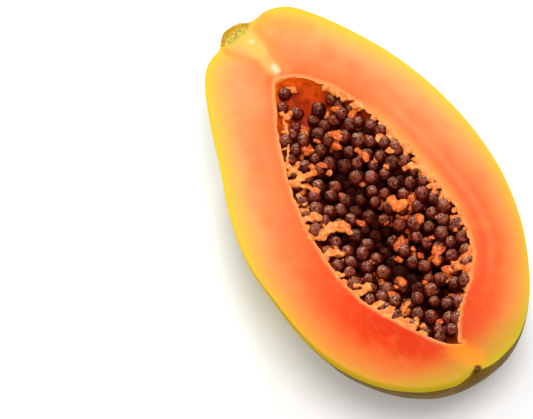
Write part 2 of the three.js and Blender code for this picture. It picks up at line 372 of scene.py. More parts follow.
def distance_to(line, places):
    """How far each place lies from the nearest point of a line of points."""
    tree = KDTree(len(line))
    for i, p in enumerate(line):
        tree.insert(p, i)
    tree.balance()
    return np.array([tree.find(p)[2] for p in places])


def edge_line(form):
    fine = np.linspace(0, 1, 3000)
    line = np.concatenate([form(fine, np.zeros(fine.shape)), form(fine, np.full(fine.shape, -math.pi))])
    return line * [1, 1, 0]


points = read_points(fruit)
is_back = np.arange(len(points)) < back_count
is_wall = ~is_back & (np.arange(len(points)) < back_count + hollow_count)
is_face = ~is_back & ~is_wall
from_rim = distance_to(edge_line(body_wall), points)
from_lip = distance_to(edge_line(hollow_wall), points)
inward = np.where(is_back, 0, np.where(is_wall, 1, from_rim / (from_rim + from_lip)))
depth = np.maximum(-points[:, 2], 0)
x, y = points[:, 0], points[:, 1]
# Deeper colour towards the blossom end and the slim side: partly ripening, partly painted light and shade.
deepness_and_painted_light = smoothstep(66, 162, x) * (0.72 + 0.28 * smoothstep(10, -25, y))
richer = 0.4 * smoothstep(0, 25, y) * smoothstep(15, 80, x)
richer += 0.32 * smoothstep(0, -15, y) * smoothstep(85, 120, x)
inward *= 1 + richer * (1 - inward)
print(f"rim to lip: {np.min((from_rim + from_lip)[is_face]):.1f} mm at the thinnest")

# %% [markdown]
# The form is right but too clean. A real lip is rounded and torn, mostly on the full side. Near the blossom
# end the full side's lip is also pinched in by a millimetre or two, as the tip of the hollow is narrower
# there than the plain loft makes it. Sculpting would do, but noise in code gives the same result on every
# run, and it can fade out where the fruit must keep its true outline.

# %% The torn lip of the hollow
LIP_SOFTNESS = 2.2
LIP_RAGGED_WIDTH = 4.5
PINCH_WIDTH = 10
MIDDLE_X = 100
LENGTHWISE_SHARE = 0.15

to_middle = points * [1, 1, 0] - [MIDDLE_X, HOLLOW_AXIS_Y, 0]
to_middle[:, 0] *= LENGTHWISE_SHARE
outwards = to_middle / np.maximum(np.linalg.norm(to_middle, axis=1), 1e-6)[:, None]
near_lip = np.where(is_back, 0, 1 - smoothstep(0, LIP_RAGGED_WIDTH, from_lip))
ragged = 1.35 * ripple(points, 5.5, 1) + 0.8 * ripple(points, 1.9, 2)
torn_side = 0.35 + 0.65 * smoothstep(0, 10, y) * smoothstep(50, 70, x)
points += outwards * (ragged * near_lip * torn_side)[:, None]
fine = np.linspace(0, 1, 3000)
full_lip, slim_lip = (hollow_wall(fine, np.full(fine.shape, turn)) for turn in (0, -math.pi))
high_lip, low_lip = (np.interp(x, lip[:, 0], lip[:, 1]) for lip in (full_lip, slim_lip))
across = np.clip((y - low_lip) / np.maximum(high_lip - low_lip, 0.5), 0, 1)
pinch = (1.2 + 1.1 * smoothstep(155, 168, x)) * smoothstep(147, 156, x)
pinch = np.minimum(pinch, 0.7 * (high_lip - low_lip)) * across
points[:, 1] -= np.where(is_back, 0, pinch * np.where(is_wall, 1, 1 - smoothstep(0, PINCH_WIDTH, from_lip)))
rounding = np.clip(1 - from_lip / LIP_SOFTNESS, 0, 1) ** 2 * (0.9 + 0.4 * ripple(points, 3.5, 3))
points[:, 2] -= np.where(is_back, 0, rounding)
print(f"lip moved by up to {np.abs(ragged * near_lip * torn_side).max():.1f} mm")

# %% [markdown]
# The knife leaves the cut a little wavy, the spoon and the seeds leave pits in the wall, and the peel has
# shallow dents. A displace modifier could do each, but it moves all points alike. In code each relief keeps
# to its own part of the fruit, and fades out at the rim. Last, the back is pressed softly onto the table,
# so that the flat spot has no hard edge.

# %% Waves, pits and dents
SWELL_FROM_LIP = 7.0
SWELL_WIDTH = 3.0
SWELL_HEIGHT = 0.22
FLAT_SOFTNESS = 0.15

keep_rim = smoothstep(0, 5, from_rim)
wavy = 0.16 * ripple(points, 15, 4) + 0.07 * ripple(points, 3.2, 5)
swell = SWELL_HEIGHT * np.exp(-(((from_lip - SWELL_FROM_LIP) / SWELL_WIDTH) ** 2)) * smoothstep(0, 12, y)
points[:, 2] += np.where(is_face, (wavy + swell) * keep_rim, 0)
pitted = (0.6 * ripple(points, 4.2, 6) + 0.3 * ripple(points, 1.8, 9)) * smoothstep(0, 3, depth)
points += outwards * np.where(is_wall, pitted, 0)[:, None]
dented = (0.35 * ripple(points, 26, 7) + 0.1 * ripple(points, 8, 8)) * smoothstep(0, 8, depth)
away = points * [0.0, 1, 1]
away /= np.maximum(np.linalg.norm(away, axis=1), 1e-6)[:, None]
points += away * np.where(is_back, dented, 0)[:, None]
height = points[:, 2] + CUT_HEIGHT
height = np.where(is_back, (height + np.sqrt(height**2 + FLAT_SOFTNESS**2)) / 2, height)
points[:, 2] = height - height[is_back].min() - CUT_HEIGHT
points[is_face | is_wall, 2] += height[is_back].min()
move_points(fruit, to_frame(points))
print(f"lowest point {points[:, 2].min() + CUT_HEIGHT:.3f} mm above the table")

# %% [markdown]
# A material knows nothing of peel, lip or seeds. A picture could tell it, but here each point keeps a few
# plain numbers instead: its distances, its depth in the hollow, its side of the cut, how far along the fruit
# it lies and how far round. The finished piece then stands in for the solid, and rides on the same body.

# %% What the materials can read
store(fruit, "inward", inward)
store(fruit, "deepness_and_painted_light", deepness_and_painted_light)
store(fruit, "wall_depth", np.where(is_wall, depth, 0))
store(fruit, "from_rim", from_rim)
store(fruit, "from_lip", from_lip)
store(fruit, "full_side", smoothstep(0, 12, y) * smoothstep(55, 75, x) * (1 - smoothstep(150, 166, x)))
store(fruit, "slim_side", smoothstep(8, -14, y))
store(fruit, "along", x)
store(fruit, "around", np.degrees(np.arctan2(-points[:, 2], y)))
bpy.ops.object.select_all(action="DESELECT")
fruit.select_set(True)
bpy.context.view_layer.objects.active = fruit
bpy.ops.object.shade_smooth_by_angle(angle=math.radians(50))
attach(fruit, "root")
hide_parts("papaya_half")
print("kept on the points:", [layer.name for layer in fruit.data.attributes if layer.data_type == "FLOAT"])

# %% [markdown]
# The seeds lie in a shallow trough: higher along the lip, lower along the middle, and steep at the stem end.
# It isn't a piece of its own, so it needs no mesh: a formula gives its depth at any place, from how far the
# place lies between the two edges of the hollow.

# %% The bed of the seeds
SEEDS_ALONG = (37, 170)
SEEDS_ACROSS = (-23, 33)
SEED_LIP_SHARE = 0.85
BED_LIP_DEPTH, BED_GROOVE_DEPTH = 4.6, 13.5
BED_STEM_X, BED_STEM_SLOPE = 50, 0.8

table_x = np.linspace(HOLLOW_FULL_SIDE[0][0], HOLLOW_FULL_SIDE[-1][0], 1481)
fine_places = np.linspace(0, 1, 4000)
table_high, table_low = (
    HOLLOW_AXIS_Y + sign * np.interp(table_x, *np.maximum(spline(side, fine_places), 0).T)
    for sign, side in ((1, HOLLOW_FULL_SIDE), (-1, HOLLOW_SLIM_SIDE))
)


def edges_at(at_x):
    """The hollow's two edges across the cut."""
    return np.interp(at_x, table_x, table_low), np.interp(at_x, table_x, table_high)


def bed_depth(at_x, at_y):
    """How deep the bed of the seeds lies under the cut."""
    low, high = edges_at(at_x)
    side = np.clip((2 * at_y - low - high) / np.maximum(high - low, 1), -1, 1)
    bowl = BED_LIP_DEPTH + (BED_GROOVE_DEPTH - BED_LIP_DEPTH) * (1 - side * side) ** 1.5
    return bowl + BED_STEM_SLOPE * np.maximum(BED_STEM_X - at_x, 0)


def settle(seeds):
    """Puts all the seeds back on their bed, clear of the lip.

    A row of seeds holds x, y, z, radius, lift, heading and tilt.
    """
    low, high = edges_at(seeds[:, 0])
    room = seeds[:, 3] * SEED_LIP_SHARE
    middle = (low + high) / 2
    seeds[:, 0] = np.clip(seeds[:, 0], *SEEDS_ALONG)
    seeds[:, 1] = np.clip(seeds[:, 1], np.minimum(low + room, middle), np.maximum(high - room, middle))
    seeds[:, 2] = seeds[:, 4] - bed_depth(seeds[:, 0], seeds[:, 1])


print(f"bed {bed_depth(100, HOLLOW_AXIS_Y):.1f} mm deep down the middle")

# %% [markdown]
# Setting hundreds of seeds by hand would take a day, and a plain grid would show. So they are thrown into
# the opening at random from a seed number, which throws them alike on every run, and are then nudged apart
# until they only just touch. The same rule placed them in the solid model, so both start alike.

# %% Seeds thrown in and nudged apart
RANDOM_SEED = 20261
RANDOM_STEP, RANDOM_RANGE = 16807, 2147483647
SEED_TRIES = 5000
SEED_FIRST_SPACING = 5.0
SEED_RADIUS = (2.7, 3.4)
SEED_LIFT = (1.0, 3.2)
SEED_TOUCH = 0.96
SETTLE_ROUNDS = 60
FAR_APART = 2 * SEED_RADIUS[1]

random_state = RANDOM_SEED


def draw(low, high):
    """The next number of a fixed run of random ones, between two values."""
    global random_state
    random_state = (random_state * RANDOM_STEP) % RANDOM_RANGE
    return low + (high - low) * random_state / RANDOM_RANGE


thrown = []
for _ in range(SEED_TRIES):
    spot = (draw(*SEEDS_ALONG), draw(*SEEDS_ACROSS))
    low, high = edges_at(spot[0])
    clear = all(math.dist(spot, other[:2]) > SEED_FIRST_SPACING for other in thrown)
    if low < spot[1] < high and clear:
        thrown.append([*spot, 0, draw(*SEED_RADIUS), draw(*SEED_LIFT), draw(0, math.pi), draw(0, math.pi)])
top_seeds = np.array(thrown)
settle(top_seeds)
for _ in range(SETTLE_ROUNDS):
    for i in range(len(top_seeds)):
        for j in range(i + 1, len(top_seeds)):
            gap = top_seeds[i, :3] - top_seeds[j, :3]
            if abs(gap[0]) < FAR_APART and abs(gap[1]) < FAR_APART:
                overlap = SEED_TOUCH * (top_seeds[i, 3] + top_seeds[j, 3]) - math.sqrt(gap @ gap)
                if overlap > 0:
                    push = gap[:2] / math.hypot(gap[0], gap[1]) * overlap / 2
                    top_seeds[i, :2] += push
                    top_seeds[j, :2] -= push
    settle(top_seeds)
print(len(top_seeds), "seeds on top, highest at", round((top_seeds[:, 2] + top_seeds[:, 3]).max(), 2), "mm")

# %% [markdown]
# Along the middle the seeds have sunk, which leaves a dark cleft between the two banks. At the stem end the
# wall is nearly bare, with a few seeds stuck to it. Those are placed by what the picture shows: a ray goes
# from the camera through a pixel to the wall, and the seed sits on the wall where the ray meets it.
# Last, each seed grows or shrinks a little, since ripe ones swell and touch.

# %% The cleft, and the seeds on the bare wall
CLEFT = ((66, 6), (88, 3), (112, 1), (140, 3))
CLEFT_DEPTH = 5.0
CLEFT_WIDTH = 4.2
WALL_SEED_PIXELS = [
    (285, 94), (282.5, 108), (297, 113.5), (318.5, 109.5), (314.5, 120.5), (331.5, 100), (339, 106.5),
    (296, 128.5), (352, 110), (335.5, 121), (325, 126.5), (307, 138),
]
WALL_SEEDS_TO_X = 47
WALL_SEED_RADIUS = (2.6, 3.0)
WALL_SEED_CLEARANCE = 4.6
STANDS_OUT, SITS_IN = 0.9, 0.8
SEED_GROWTH = (0.98, 1.24)


def wall_height(at_x, at_y):
    """The height of the hollow's wall, under the cut."""
    low, high = edges_at(at_x)
    side = np.clip((2 * at_y - low - high) / np.maximum(high - low, 1), -1, 1)
    return -(high - low) / 2 * (1 - HOLLOW_RIBS) * np.sqrt(1 - side * side)


cleft = spline(CLEFT, np.linspace(0, 1, 60))
sink = np.array([min(math.dist(seed[:2], at) for at in cleft) for seed in top_seeds])
top_seeds[:, 2] -= CLEFT_DEPTH * np.exp(-((sink / CLEFT_WIDTH) ** 2))
faces = [face.vertices for face in fruit.data.polygons]
surface = BVHTree.FromPolygons([v.co for v in fruit.data.vertices], faces)
wall_seeds = []
for column, row in WALL_SEED_PIXELS:
    aim_at = Vector(to_frame([*under_pixel(column, row, 0), 0]))
    sight = (aim_at - camera.location).normalized()
    hit = surface.ray_cast(camera.location, sight)[0]
    radius = draw(*WALL_SEED_RADIUS)
    at = hit / MM - sight * radius * STANDS_OUT - Vector((STEM_X, AXIS_Y, CUT_HEIGHT))
    wall_seeds.append([*at, radius, 0, draw(0, math.pi), draw(0, math.pi)])
on_wall = wall_height(*top_seeds[:, :2].T) + top_seeds[:, 3] * SITS_IN
top_seeds[:, 2] = np.maximum(top_seeds[:, 2], on_wall)
clear = [
    seed[0] > WALL_SEEDS_TO_X
    and all(math.dist(seed[:3], other[:3]) > WALL_SEED_CLEARANCE for other in wall_seeds)
    for seed in top_seeds
]
top_seeds = np.concatenate([top_seeds[clear], wall_seeds])
top_seeds[:, 3] *= [draw(*SEED_GROWTH) for _ in top_seeds]
print(len(top_seeds), "seeds on top,", len(wall_seeds), "of them on the bare wall")

# %% [markdown]
# Under the seeds on top lie more, seen through the gaps, and below them a dark body stands in for the shade
# in the last gaps. The deeper seeds could be copies of those above, pushed down, but the pattern would show.
# They are thrown by the same draw, in two layers, and only where there is room between the seeds above and
# the wall.

# %% Deeper seeds
DEEP_LAYERS = ((3.6, 4.9), (7.5, 5.2))
DEEP_FROM_X = 44
DEEP_TRIES = 2500
DEEP_RADIUS = (2.5, 3.1)
DEEP_LIFT = (0.5, 2.0)
DEEP_SITS_IN, DEEP_MAY_RISE = 0.7, 1.5
DEEP_INSET = 0.9
deep_seeds = []
for drop, spacing in DEEP_LAYERS:
    layer = []
    for _ in range(DEEP_TRIES):
        at_x, at_y = draw(DEEP_FROM_X, SEEDS_ALONG[1]), draw(*SEEDS_ACROSS)
        low, high = edges_at(at_x)
        radius = draw(*DEEP_RADIUS)
        inside = low + drop * DEEP_INSET < at_y < high - drop * DEEP_INSET
        if inside and all(math.dist((at_x, at_y), s[:2]) > spacing for s in layer):
            at_z = draw(*DEEP_LIFT) - drop - float(bed_depth(at_x, at_y))
            on_wall = float(wall_height(at_x, at_y)) + radius * DEEP_SITS_IN
            if on_wall < at_z + DEEP_MAY_RISE:
                at_z = max(at_z, on_wall)
                layer.append([at_x, at_y, at_z, radius, 0, draw(0, math.pi), draw(0, math.pi)])
    deep_seeds += layer
deep_seeds = np.array(deep_seeds)
print(len(deep_seeds), "deeper seeds")

# %% [markdown]
# A fresh papaya seed is a soft ball in a wet skin that is wrinkled and pitted. A few are modelled, each
# from a ball whose points are pushed in along creases, and are then copied and turned, which no eye can
# tell from hundreds of different ones. Seeds on top get more faces than those in the dark. Each copy keeps
# two numbers for its skin: a tone of its own, and how deep it lies, which the skin turns into painted shade.

# %% The seeds
SEED_SLIMNESS = 0.93
SEED_FORMS = 6
CREASE_DEPTH, CREASE_WIDTH = 0.13, 0.12
LUMPINESS = 0.10
GOLDEN_SHARE = 0.6180339
DEEP_SHADE = 5.0


def model_seed(number, subdivisions):
    """One seed of radius 1, with creases and lumps of its own."""
    bpy.ops.object.select_all(action="DESELECT")
    bpy.ops.mesh.primitive_ico_sphere_add(subdivisions=subdivisions, radius=1)
    seed = bpy.context.object
    ball = read_points(seed)
    creases = np.abs(ripple(ball, 0.7, 20 + number))
    lumps = ripple(ball, 0.8, 40 + number)
    size = 1 - CREASE_DEPTH * np.exp(-((creases / CREASE_WIDTH) ** 2)) + LUMPINESS * lumps
    ball *= size[:, None]
    move_points(seed, ball * [SEED_SLIMNESS, 1, SEED_SLIMNESS])
    bpy.ops.object.shade_smooth()
    return seed


def copy_seeds(rows, forms, name, shade):
    """One copy of a form for each row, turned its own way, all joined in one piece."""
    copies = []
    for i, (at_x, at_y, at_z, radius, _, heading, tilt) in enumerate(rows):
        copy = forms[i % len(forms)].copy()
        copy.data = copy.data.copy()
        place = Matrix.Translation(Vector(to_frame([at_x, at_y, at_z])))
        turn = Matrix.Rotation(heading, 4, "Z") @ Matrix.Rotation(tilt, 4, "X")
        copy.data.transform(place @ turn @ Matrix.Scale(radius * MM, 4))
        store(copy, "tone", np.full(len(copy.data.vertices), (i * GOLDEN_SHARE) % 1))
        store(copy, "sunk", np.full(len(copy.data.vertices), shade - at_z))
        bpy.context.collection.objects.link(copy)
        copies.append(copy)
    joined = join(copies, name)
    for form in forms:
        bpy.data.objects.remove(form)
    return joined


top_forms = [model_seed(n, 3) for n in range(SEED_FORMS)]
seeds = copy_seeds(top_seeds, top_forms, "papaya_seeds", 0.0)
deep_forms = [model_seed(n, 2) for n in range(SEED_FORMS)]
deep = copy_seeds(deep_seeds, deep_forms, "papaya_deep_seeds", DEEP_SHADE)
print("seeds:", len(seeds.data.polygons), "faces; deeper seeds:", len(deep.data.polygons), "faces")

# %% [markdown]
# Deep down, one closed dark body stands in for the shade in the last gaps between the deeper seeds: a long
# lens whose underside follows the wall of the hollow, a hair inside it. Its skin is painted nearly black as
# shade. More seeds would close the gaps too, but in the dark one plain body of two thousand faces does it as
# well.

# %% The dark body that stands for shade under the seeds
SHADE_BODY_FROM_X, SHADE_BODY_TO_X = 54, 162
SHADE_BODY_RINGS = 60
SHADE_BODY_WIDTH = 0.6
SHADE_BODY_TOP = 0.8
SHADE_BODY_BOTTOM = 0.96
SHADE_BODY_SUNK = 30.0
shade_body = add_sphere(32, SHADE_BODY_RINGS)
shade_body.name = "papaya_seed_shade_body"
ball = read_points(shade_body)
part = np.rint(np.arccos(np.clip(-ball[:, 2], -1, 1)) / math.pi * SHADE_BODY_RINGS) / SHADE_BODY_RINGS
angle = np.arctan2(ball[:, 1], ball[:, 0])
body_x = SHADE_BODY_FROM_X + (SHADE_BODY_TO_X - SHADE_BODY_FROM_X) * part
low, high = edges_at(body_x)
is_end = (part < 1e-6) | (part > 1 - 1e-6)
body_y = (low + high) / 2 + np.where(is_end, 0, SHADE_BODY_WIDTH * (high - low) / 2 * np.cos(angle))
depth_there = (high - low) / 2 * (1 - HOLLOW_RIBS)
under = SHADE_BODY_BOTTOM * wall_height(body_x, body_y)
flat_top = -SHADE_BODY_TOP * depth_there
body_z = np.where(is_end | (np.sin(angle) > -1e-6), flat_top, np.minimum(under, flat_top))
move_points(shade_body, to_frame(np.stack([body_x, body_y, body_z], axis=1)))
bpy.ops.object.mode_set(mode="EDIT")
bpy.ops.mesh.select_all(action="SELECT")
bpy.ops.mesh.normals_make_consistent(inside=False)
bpy.ops.object.mode_set(mode="OBJECT")
store(shade_body, "tone", np.zeros(len(shade_body.data.vertices)))
# Painted shade: a large sunk value makes the body's skin nearly black.
store(shade_body, "sunk", np.full(len(shade_body.data.vertices), SHADE_BODY_SUNK))
for piece in (seeds, deep, shade_body):
    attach(piece, "root")
    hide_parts("seeds")
print("core:", len(shade_body.data.polygons), "faces")

# %% [markdown]
# The seeds hung on threads that grew from the wall. When the fruit is cut, what is left of them lines the
# lip as pale wet fingers and curls between the seeds. A curve with a bevel could make them, but its ends
# are flat. Each is a sphere drawn out along a curved path instead, which gives a closed form with round
# ends, thick or thin wherever its list of radii says.

# %% One torn thread


def finger(path, radii, flatness, number, sides, rings, rough):
    """A thread along a path of [x, y, z] in millimetres, with its radii from root to tip."""
    piece = add_sphere(sides, rings)
    ball = read_points(piece)
    part = np.arccos(np.clip(-ball[:, 2], -1, 1)) / math.pi
    angle = np.arctan2(ball[:, 1], ball[:, 0])
    centre = spline(path, part)
    ahead = spline(path, np.minimum(part + 0.02, 1)) - spline(path, np.maximum(part - 0.02, 0))
    ahead /= np.maximum(np.linalg.norm(ahead, axis=1), 1e-6)[:, None]
    side = np.cross(ahead, [0, 0, 1.0])
    side /= np.maximum(np.linalg.norm(side, axis=1), 1e-3)[:, None]
    over = np.cross(side, ahead)
    round_end = np.clip(np.sin(part * math.pi) * 3.0, 0, 1) ** 0.5
    radius = spline(np.array(radii, float)[:, None], part)[:, 0] * round_end
    radius *= 1 + rough * ripple(centre + ball * 0.8, 1.6, number)
    placed = centre + side * (radius * np.cos(angle))[:, None]
    placed += over * (radius * flatness * np.sin(angle))[:, None]
    move_points(piece, to_frame(placed))
    bpy.ops.object.shade_smooth()
    return piece


# %% [markdown]
# The larger threads stand where they do in the solid model: a row of them along both sides of the lip,
# each from its root in the flesh to its tip over the seeds, and a few that rise from the floor. Those by
# the stem end of the slim side come in the next step, with the strands that can be told apart.

# %% The larger threads
LIP_THREADS = [
    (66, -14.5, 79, -9.5), (75, -17.5, 85, -8.0), (93, -21.5, 96, -15.0), (97, -22.0, 106, -17.0),
    (112, -23.0, 116, -13.5), (128, -21.8, 131, -16.0), (134, -20.5, 134, -13.0),
    (143, -18.0, 146, -11.5), (160, -10.0, 154, -4.0), (69, 28.2, 70, 24.0), (77, 30.2, 83, 26.0),
    (91, 31.6, 93, 26.5), (100, 32.0, 108, 28.5), (111, 32.8, 109, 24.5), (116, 33.0, 119, 28.0),
    (131, 32.0, 129, 26.5), (145, 27.5, 146, 17.5), (151, 23.0, 145, 15.5),
]
FLOOR_THREADS = [(69, 9), (81, 16), (108, 14), (119, 19), (138, 15), (138, -2)]
THREAD_REACH = 0.62
THREAD_BANK = 3.5
FLOOR_THREAD_RISE = 3.4

threads = []
for i, (root_x, root_y, tip_x, tip_y) in enumerate(LIP_THREADS):
    tip_x, tip_y = root_x + THREAD_REACH * (tip_x - root_x), root_y + THREAD_REACH * (tip_y - root_y)
    bank = math.copysign(THREAD_BANK, root_y - HOLLOW_AXIS_Y)
    mid_x, mid_y = (root_x + tip_x) / 2 + draw(-1, 1), (root_y + tip_y) / 2 + draw(-1, 1)
    path = [
        (root_x, root_y + bank, -3.6), (root_x, root_y, -1.7), (mid_x, mid_y, -1.2 - draw(0, 0.8)),
        (tip_x, tip_y, -2.9), (tip_x + draw(-1, 1), tip_y, -4.5),
    ]
    radii = [2.2, 1.6, draw(0.8, 1.5), draw(0.9, 1.7), draw(0.4, 0.9)]
    threads.append(finger(path, radii, draw(0.5, 0.9), i, 12, 22, 0.4))
for i, (tip_x, tip_y) in enumerate(FLOOR_THREADS):
    root_y = tip_y - 0.5 * (tip_y - HOLLOW_AXIS_Y)
    crest = FLOOR_THREAD_RISE - float(bed_depth(tip_x, tip_y))
    path = [
        (tip_x, root_y, crest - 12), (tip_x - 3, (root_y + tip_y) / 2, crest - 5),
        (tip_x - 3, tip_y, crest), (tip_x, tip_y, crest + 2.2),
        (tip_x + 1.5, tip_y + draw(-1.5, 1.5), crest + 1.2),
    ]
    threads.append(finger(path, [2.0, 1.7, 1.3, 1.7, 1.1], 0.8, 60 + i, 12, 22, 0.45))
print(len(threads), "larger threads")

# %% [markdown]
# Some strands are plain to see, and are drawn through the places where the picture shows them: a strand
# that runs beside the lip with dark gaps behind it, two arms that reach in over the seeds, a hooked arm and
# a few flaps. Random ones would never look like these. Each row gives the radii in millimetres, a height
# over the bed or None for a strand level with the lip, and the pixels that it passes through.

# %% Strands seen in the picture
STRANDS = [
    ((0.8,), None, [(282, 118), (286, 127), (288, 139), (288.2, 151), (287.4, 161), (285, 170)]),
    ((0.7,), None, [(280, 131), (285, 132)]),
    ((0.7,), None, [(281, 149), (286, 148)]),
    ((1.0, 1.2, 1.0), 3.5, [(287, 176), (292.5, 170.5), (299, 166)]),
    ((1.5, 1.8, 2.0, 1.6, 1.0), 3.6, [(291, 186), (298, 181), (306, 176), (318, 172)]),
    ((1.5, 1.7, 2.4, 2.0, 1.0), 3.6, [(317, 240), (325, 232), (337, 226), (347, 229), (351, 235)]),
    ((1.6, 2.2, 1.5, 2.0, 1.1), 3.8, [(388, 197), (392, 201), (398, 208), (404, 203), (406, 199)]),
    ((1.3, 1.5, 1.1), 3.6, [(402, 168), (411, 166), (421, 166)]),
    ((1.6, 1.4, 1.3, 0.8), 3.4, [(325, 252), (336, 252), (345, 255)]),
    ((1.5, 1.2, 1.2, 0.8), 3.2, [(398, 317), (403, 310), (410, 301)]),
    ((0.6,), None, [(389, 136), (394, 136.5), (397, 140), (394, 143.5), (389.5, 142)]),
]
AT_LIP = -1.4
STRAND_CLEARANCE = 2.4
ROOT_DROP = 1.2


def lies_on_bed(column, row, lift):
    """A place in the picture, at a height over the bed of the seeds."""
    height = -3.0
    for _ in range(5):
        at_x, at_y = under_pixel(column, row, height)
        height = min(lift - float(bed_depth(at_x, at_y)), -0.8)
    return at_x, at_y, height


strands = []
for i, (radii, lift, pixels) in enumerate(STRANDS):
    if lift is None:
        path = [(*under_pixel(*pixel, AT_LIP), AT_LIP) for pixel in pixels]
    else:
        path = [lies_on_bed(*pixel, lift + STRAND_CLEARANCE) for pixel in pixels]
    path[0] = (*path[0][:2], path[0][2] - ROOT_DROP)
    radii = [r * draw(0.8, 1.3) for r in (radii if len(radii) > 1 else radii * 6)]
    strands.append(finger(path, radii, draw(0.45, 0.75), 300 + i, 14, 28, 0.5))
print(len(strands), "strands")

# %% [markdown]
# Where the flesh around a seed tore away whole, it stays behind as a soft ragged lump. Sculpting each would
# be slow, and at this size a ball that is squashed and broken up by strong noise looks the same. A row gives
# a pixel, how high the lump stands over the bed or None for one on the bare wall, and its length, width and
# turn. The noise makes a lump larger than its ball, so the ball is made that much smaller.

# %% Lumps of torn flesh
LUMPS = [
    (291.8, 89.8, None, 3.4, 1.7, 20), (288, 116, None, 1.9, 2.9, 0), (281.5, 115, None, 1.5, 1.8, 0),
    (312, 167, 3.4, 2.5, 1.7, 10), (336.7, 135.7, 3.6, 4.4, 2.6, 10), (308, 152, 1.6, 2.6, 1.9, 40),
    (315, 191, 3.0, 2.6, 1.7, 10), (315.3, 216.3, 3.4, 3.3, 2.3, 0), (360, 223, 1.5, 2.4, 1.4, 10),
    (380.6, 137.8, 3.2, 2.2, 2.2, 0), (418.4, 192.9, 3.2, 2.0, 1.7, 20),
    (434.7, 193.9, 3.0, 1.8, 1.5, 0), (390.8, 311, 3.0, 2.6, 2.2, 0), (356.5, 284.5, 3.0, 2.3, 2.0, 0),
    (367, 287.5, 3.2, 2.9, 2.5, 20), (409, 321, 2.4, 1.8, 1.6, 0), (445, 207, 2.4, 2.4, 1.7, 60),
    (454, 218, 2.6, 2.0, 1.6, 60), (422.4, 326.5, 2.6, 2.4, 1.4, 40), (438.8, 321.4, 2.6, 2.2, 1.8, 70),
    (448, 270.4, 3.4, 3.2, 2.3, 0), (458, 264, 3.6, 3.0, 2.2, 30), (465, 265, 2.8, 2.4, 2.0, 0),
    (438, 251.5, 3.2, 2.7, 2.8, 0), (431.6, 237, 2.0, 2.0, 1.3, 0), (440, 229, 2.4, 1.4, 2.4, 0),
    (455, 229.6, 2.6, 1.6, 1.2, 0), (358, 150, 1.6, 2.2, 1.6, 0), (376.5, 158, 1.6, 1.7, 2.0, 0),
    (299, 196, 2.6, 1.8, 1.4, 0), (304, 204, 2.0, 1.8, 1.4, 0), (323, 238, 3.0, 1.8, 1.4, 0),
    (444, 160, 2.6, 1.6, 1.2, 0), (396, 287, 1.6, 1.8, 1.4, 0), (425, 283, 1.4, 1.8, 1.3, 30),
    (413, 249, 1.2, 1.5, 1.2, 0), (462, 280, 2.0, 1.8, 1.3, 0), (341, 195, 1.0, 1.4, 1.2, 0),
    (372, 262, 1.0, 1.6, 1.2, 0), (470, 248, 2.6, 1.2, 1.8, 0), (450, 199, 3.4, 2.8, 1.4, 70),
    (455, 210, 3.4, 2.6, 1.4, 75), (461, 223, 3.2, 2.6, 1.4, 80), (467, 256, 3.4, 1.4, 2.4, 0),
    (306, 229, 3.6, 3.2, 1.8, 60), (311, 237, 3.2, 2.4, 1.5, 60), (338, 275, 3.4, 3.2, 1.7, 40),
    (345, 282, 3.0, 2.2, 1.4, 40), (322, 166, 3.2, 2.6, 1.6, 20), (330, 173, 2.6, 2.0, 1.5, 0),
    (390, 151, 3.4, 2.4, 1.5, 10), (387, 166, 2.6, 1.8, 1.4, 0), (304, 149, 1.6, 2.4, 1.6, 30),
    (311, 103, 0.6, 2.0, 1.5, 0), (399, 259, 2.2, 2.2, 1.4, 0),
]
ON_WALL = -3.5
LUMP_CLEARANCE = 1.6
LUMP_HEIGHT = 0.75
LUMP_SWELL_LONG, LUMP_SWELL_WIDE = 1.25, 1.15
PICTURE_TURN = 20


def lump(at, length, width, heading, number):
    """A ragged lump at a place in millimetres, turned by a number of degrees."""
    bpy.ops.object.select_all(action="DESELECT")
    bpy.ops.mesh.primitive_ico_sphere_add(subdivisions=4, radius=1)
    piece = bpy.context.object
    ball = read_points(piece)
    shape = ball * [length, width, min(length, width) * LUMP_HEIGHT]
    torn = 0.55 * ripple(shape, 2.1, number) + 0.2 * ripple(shape, 0.9, number + 50)
    shape *= (1 + torn)[:, None]
    turn = np.array(Matrix.Rotation(math.radians(heading), 3, "Z"))
    move_points(piece, to_frame(shape @ turn.T + at))
    bpy.ops.object.shade_smooth()
    return piece


lumps = []
for i, (column, row, lift, length, width, heading) in enumerate(LUMPS):
    if lift is None:
        at = (*under_pixel(column, row, ON_WALL), ON_WALL)
    else:
        at = lies_on_bed(column, row, lift + LUMP_CLEARANCE)
    size = (length / LUMP_SWELL_LONG, width / LUMP_SWELL_WIDE)
    lumps.append(lump(np.array(at), *size, heading + PICTURE_TURN, i))
print(len(lumps), "lumps")

# %% [markdown]
# Smaller scraps of the same flesh lie between the seeds all over, apart from the dark cleft. The eye takes
# them for a crowd, so none needs a place of its own: they are thrown at random, as the seeds are.

# %% Scraps between the seeds
SCRAP_COUNT = 110
SCRAPS_ALONG = (46, 168)
SCRAP_FROM_CLEFT = 6
scraps = []
for i in range(SCRAP_COUNT):
    at_x, at_y = draw(*SCRAPS_ALONG), draw(*SEEDS_ACROSS)
    size, stretch, lift = draw(1.1, 2.3), draw(1.0, 1.8), draw(-0.4, 2.1)
    low, high = edges_at(at_x)
    from_cleft = min(math.dist((at_x, at_y), at) for at in cleft)
    if low + 1 < at_y < high - 1 and from_cleft > SCRAP_FROM_CLEFT:
        at = np.array([at_x, at_y, lift - float(bed_depth(at_x, at_y))])
        scraps.append(lump(at, size * stretch, size, draw(0, 180), 200 + i))
print(len(scraps), "scraps")

# %% [markdown]
# Between the threads the lip is frayed into small tabs of all sizes. One form copied along the lip would
# look like a comb. So they are thrown at random, more of them on the full side, some flat like torn skin,
# some round like a bud, and each leans its own way over the seeds.

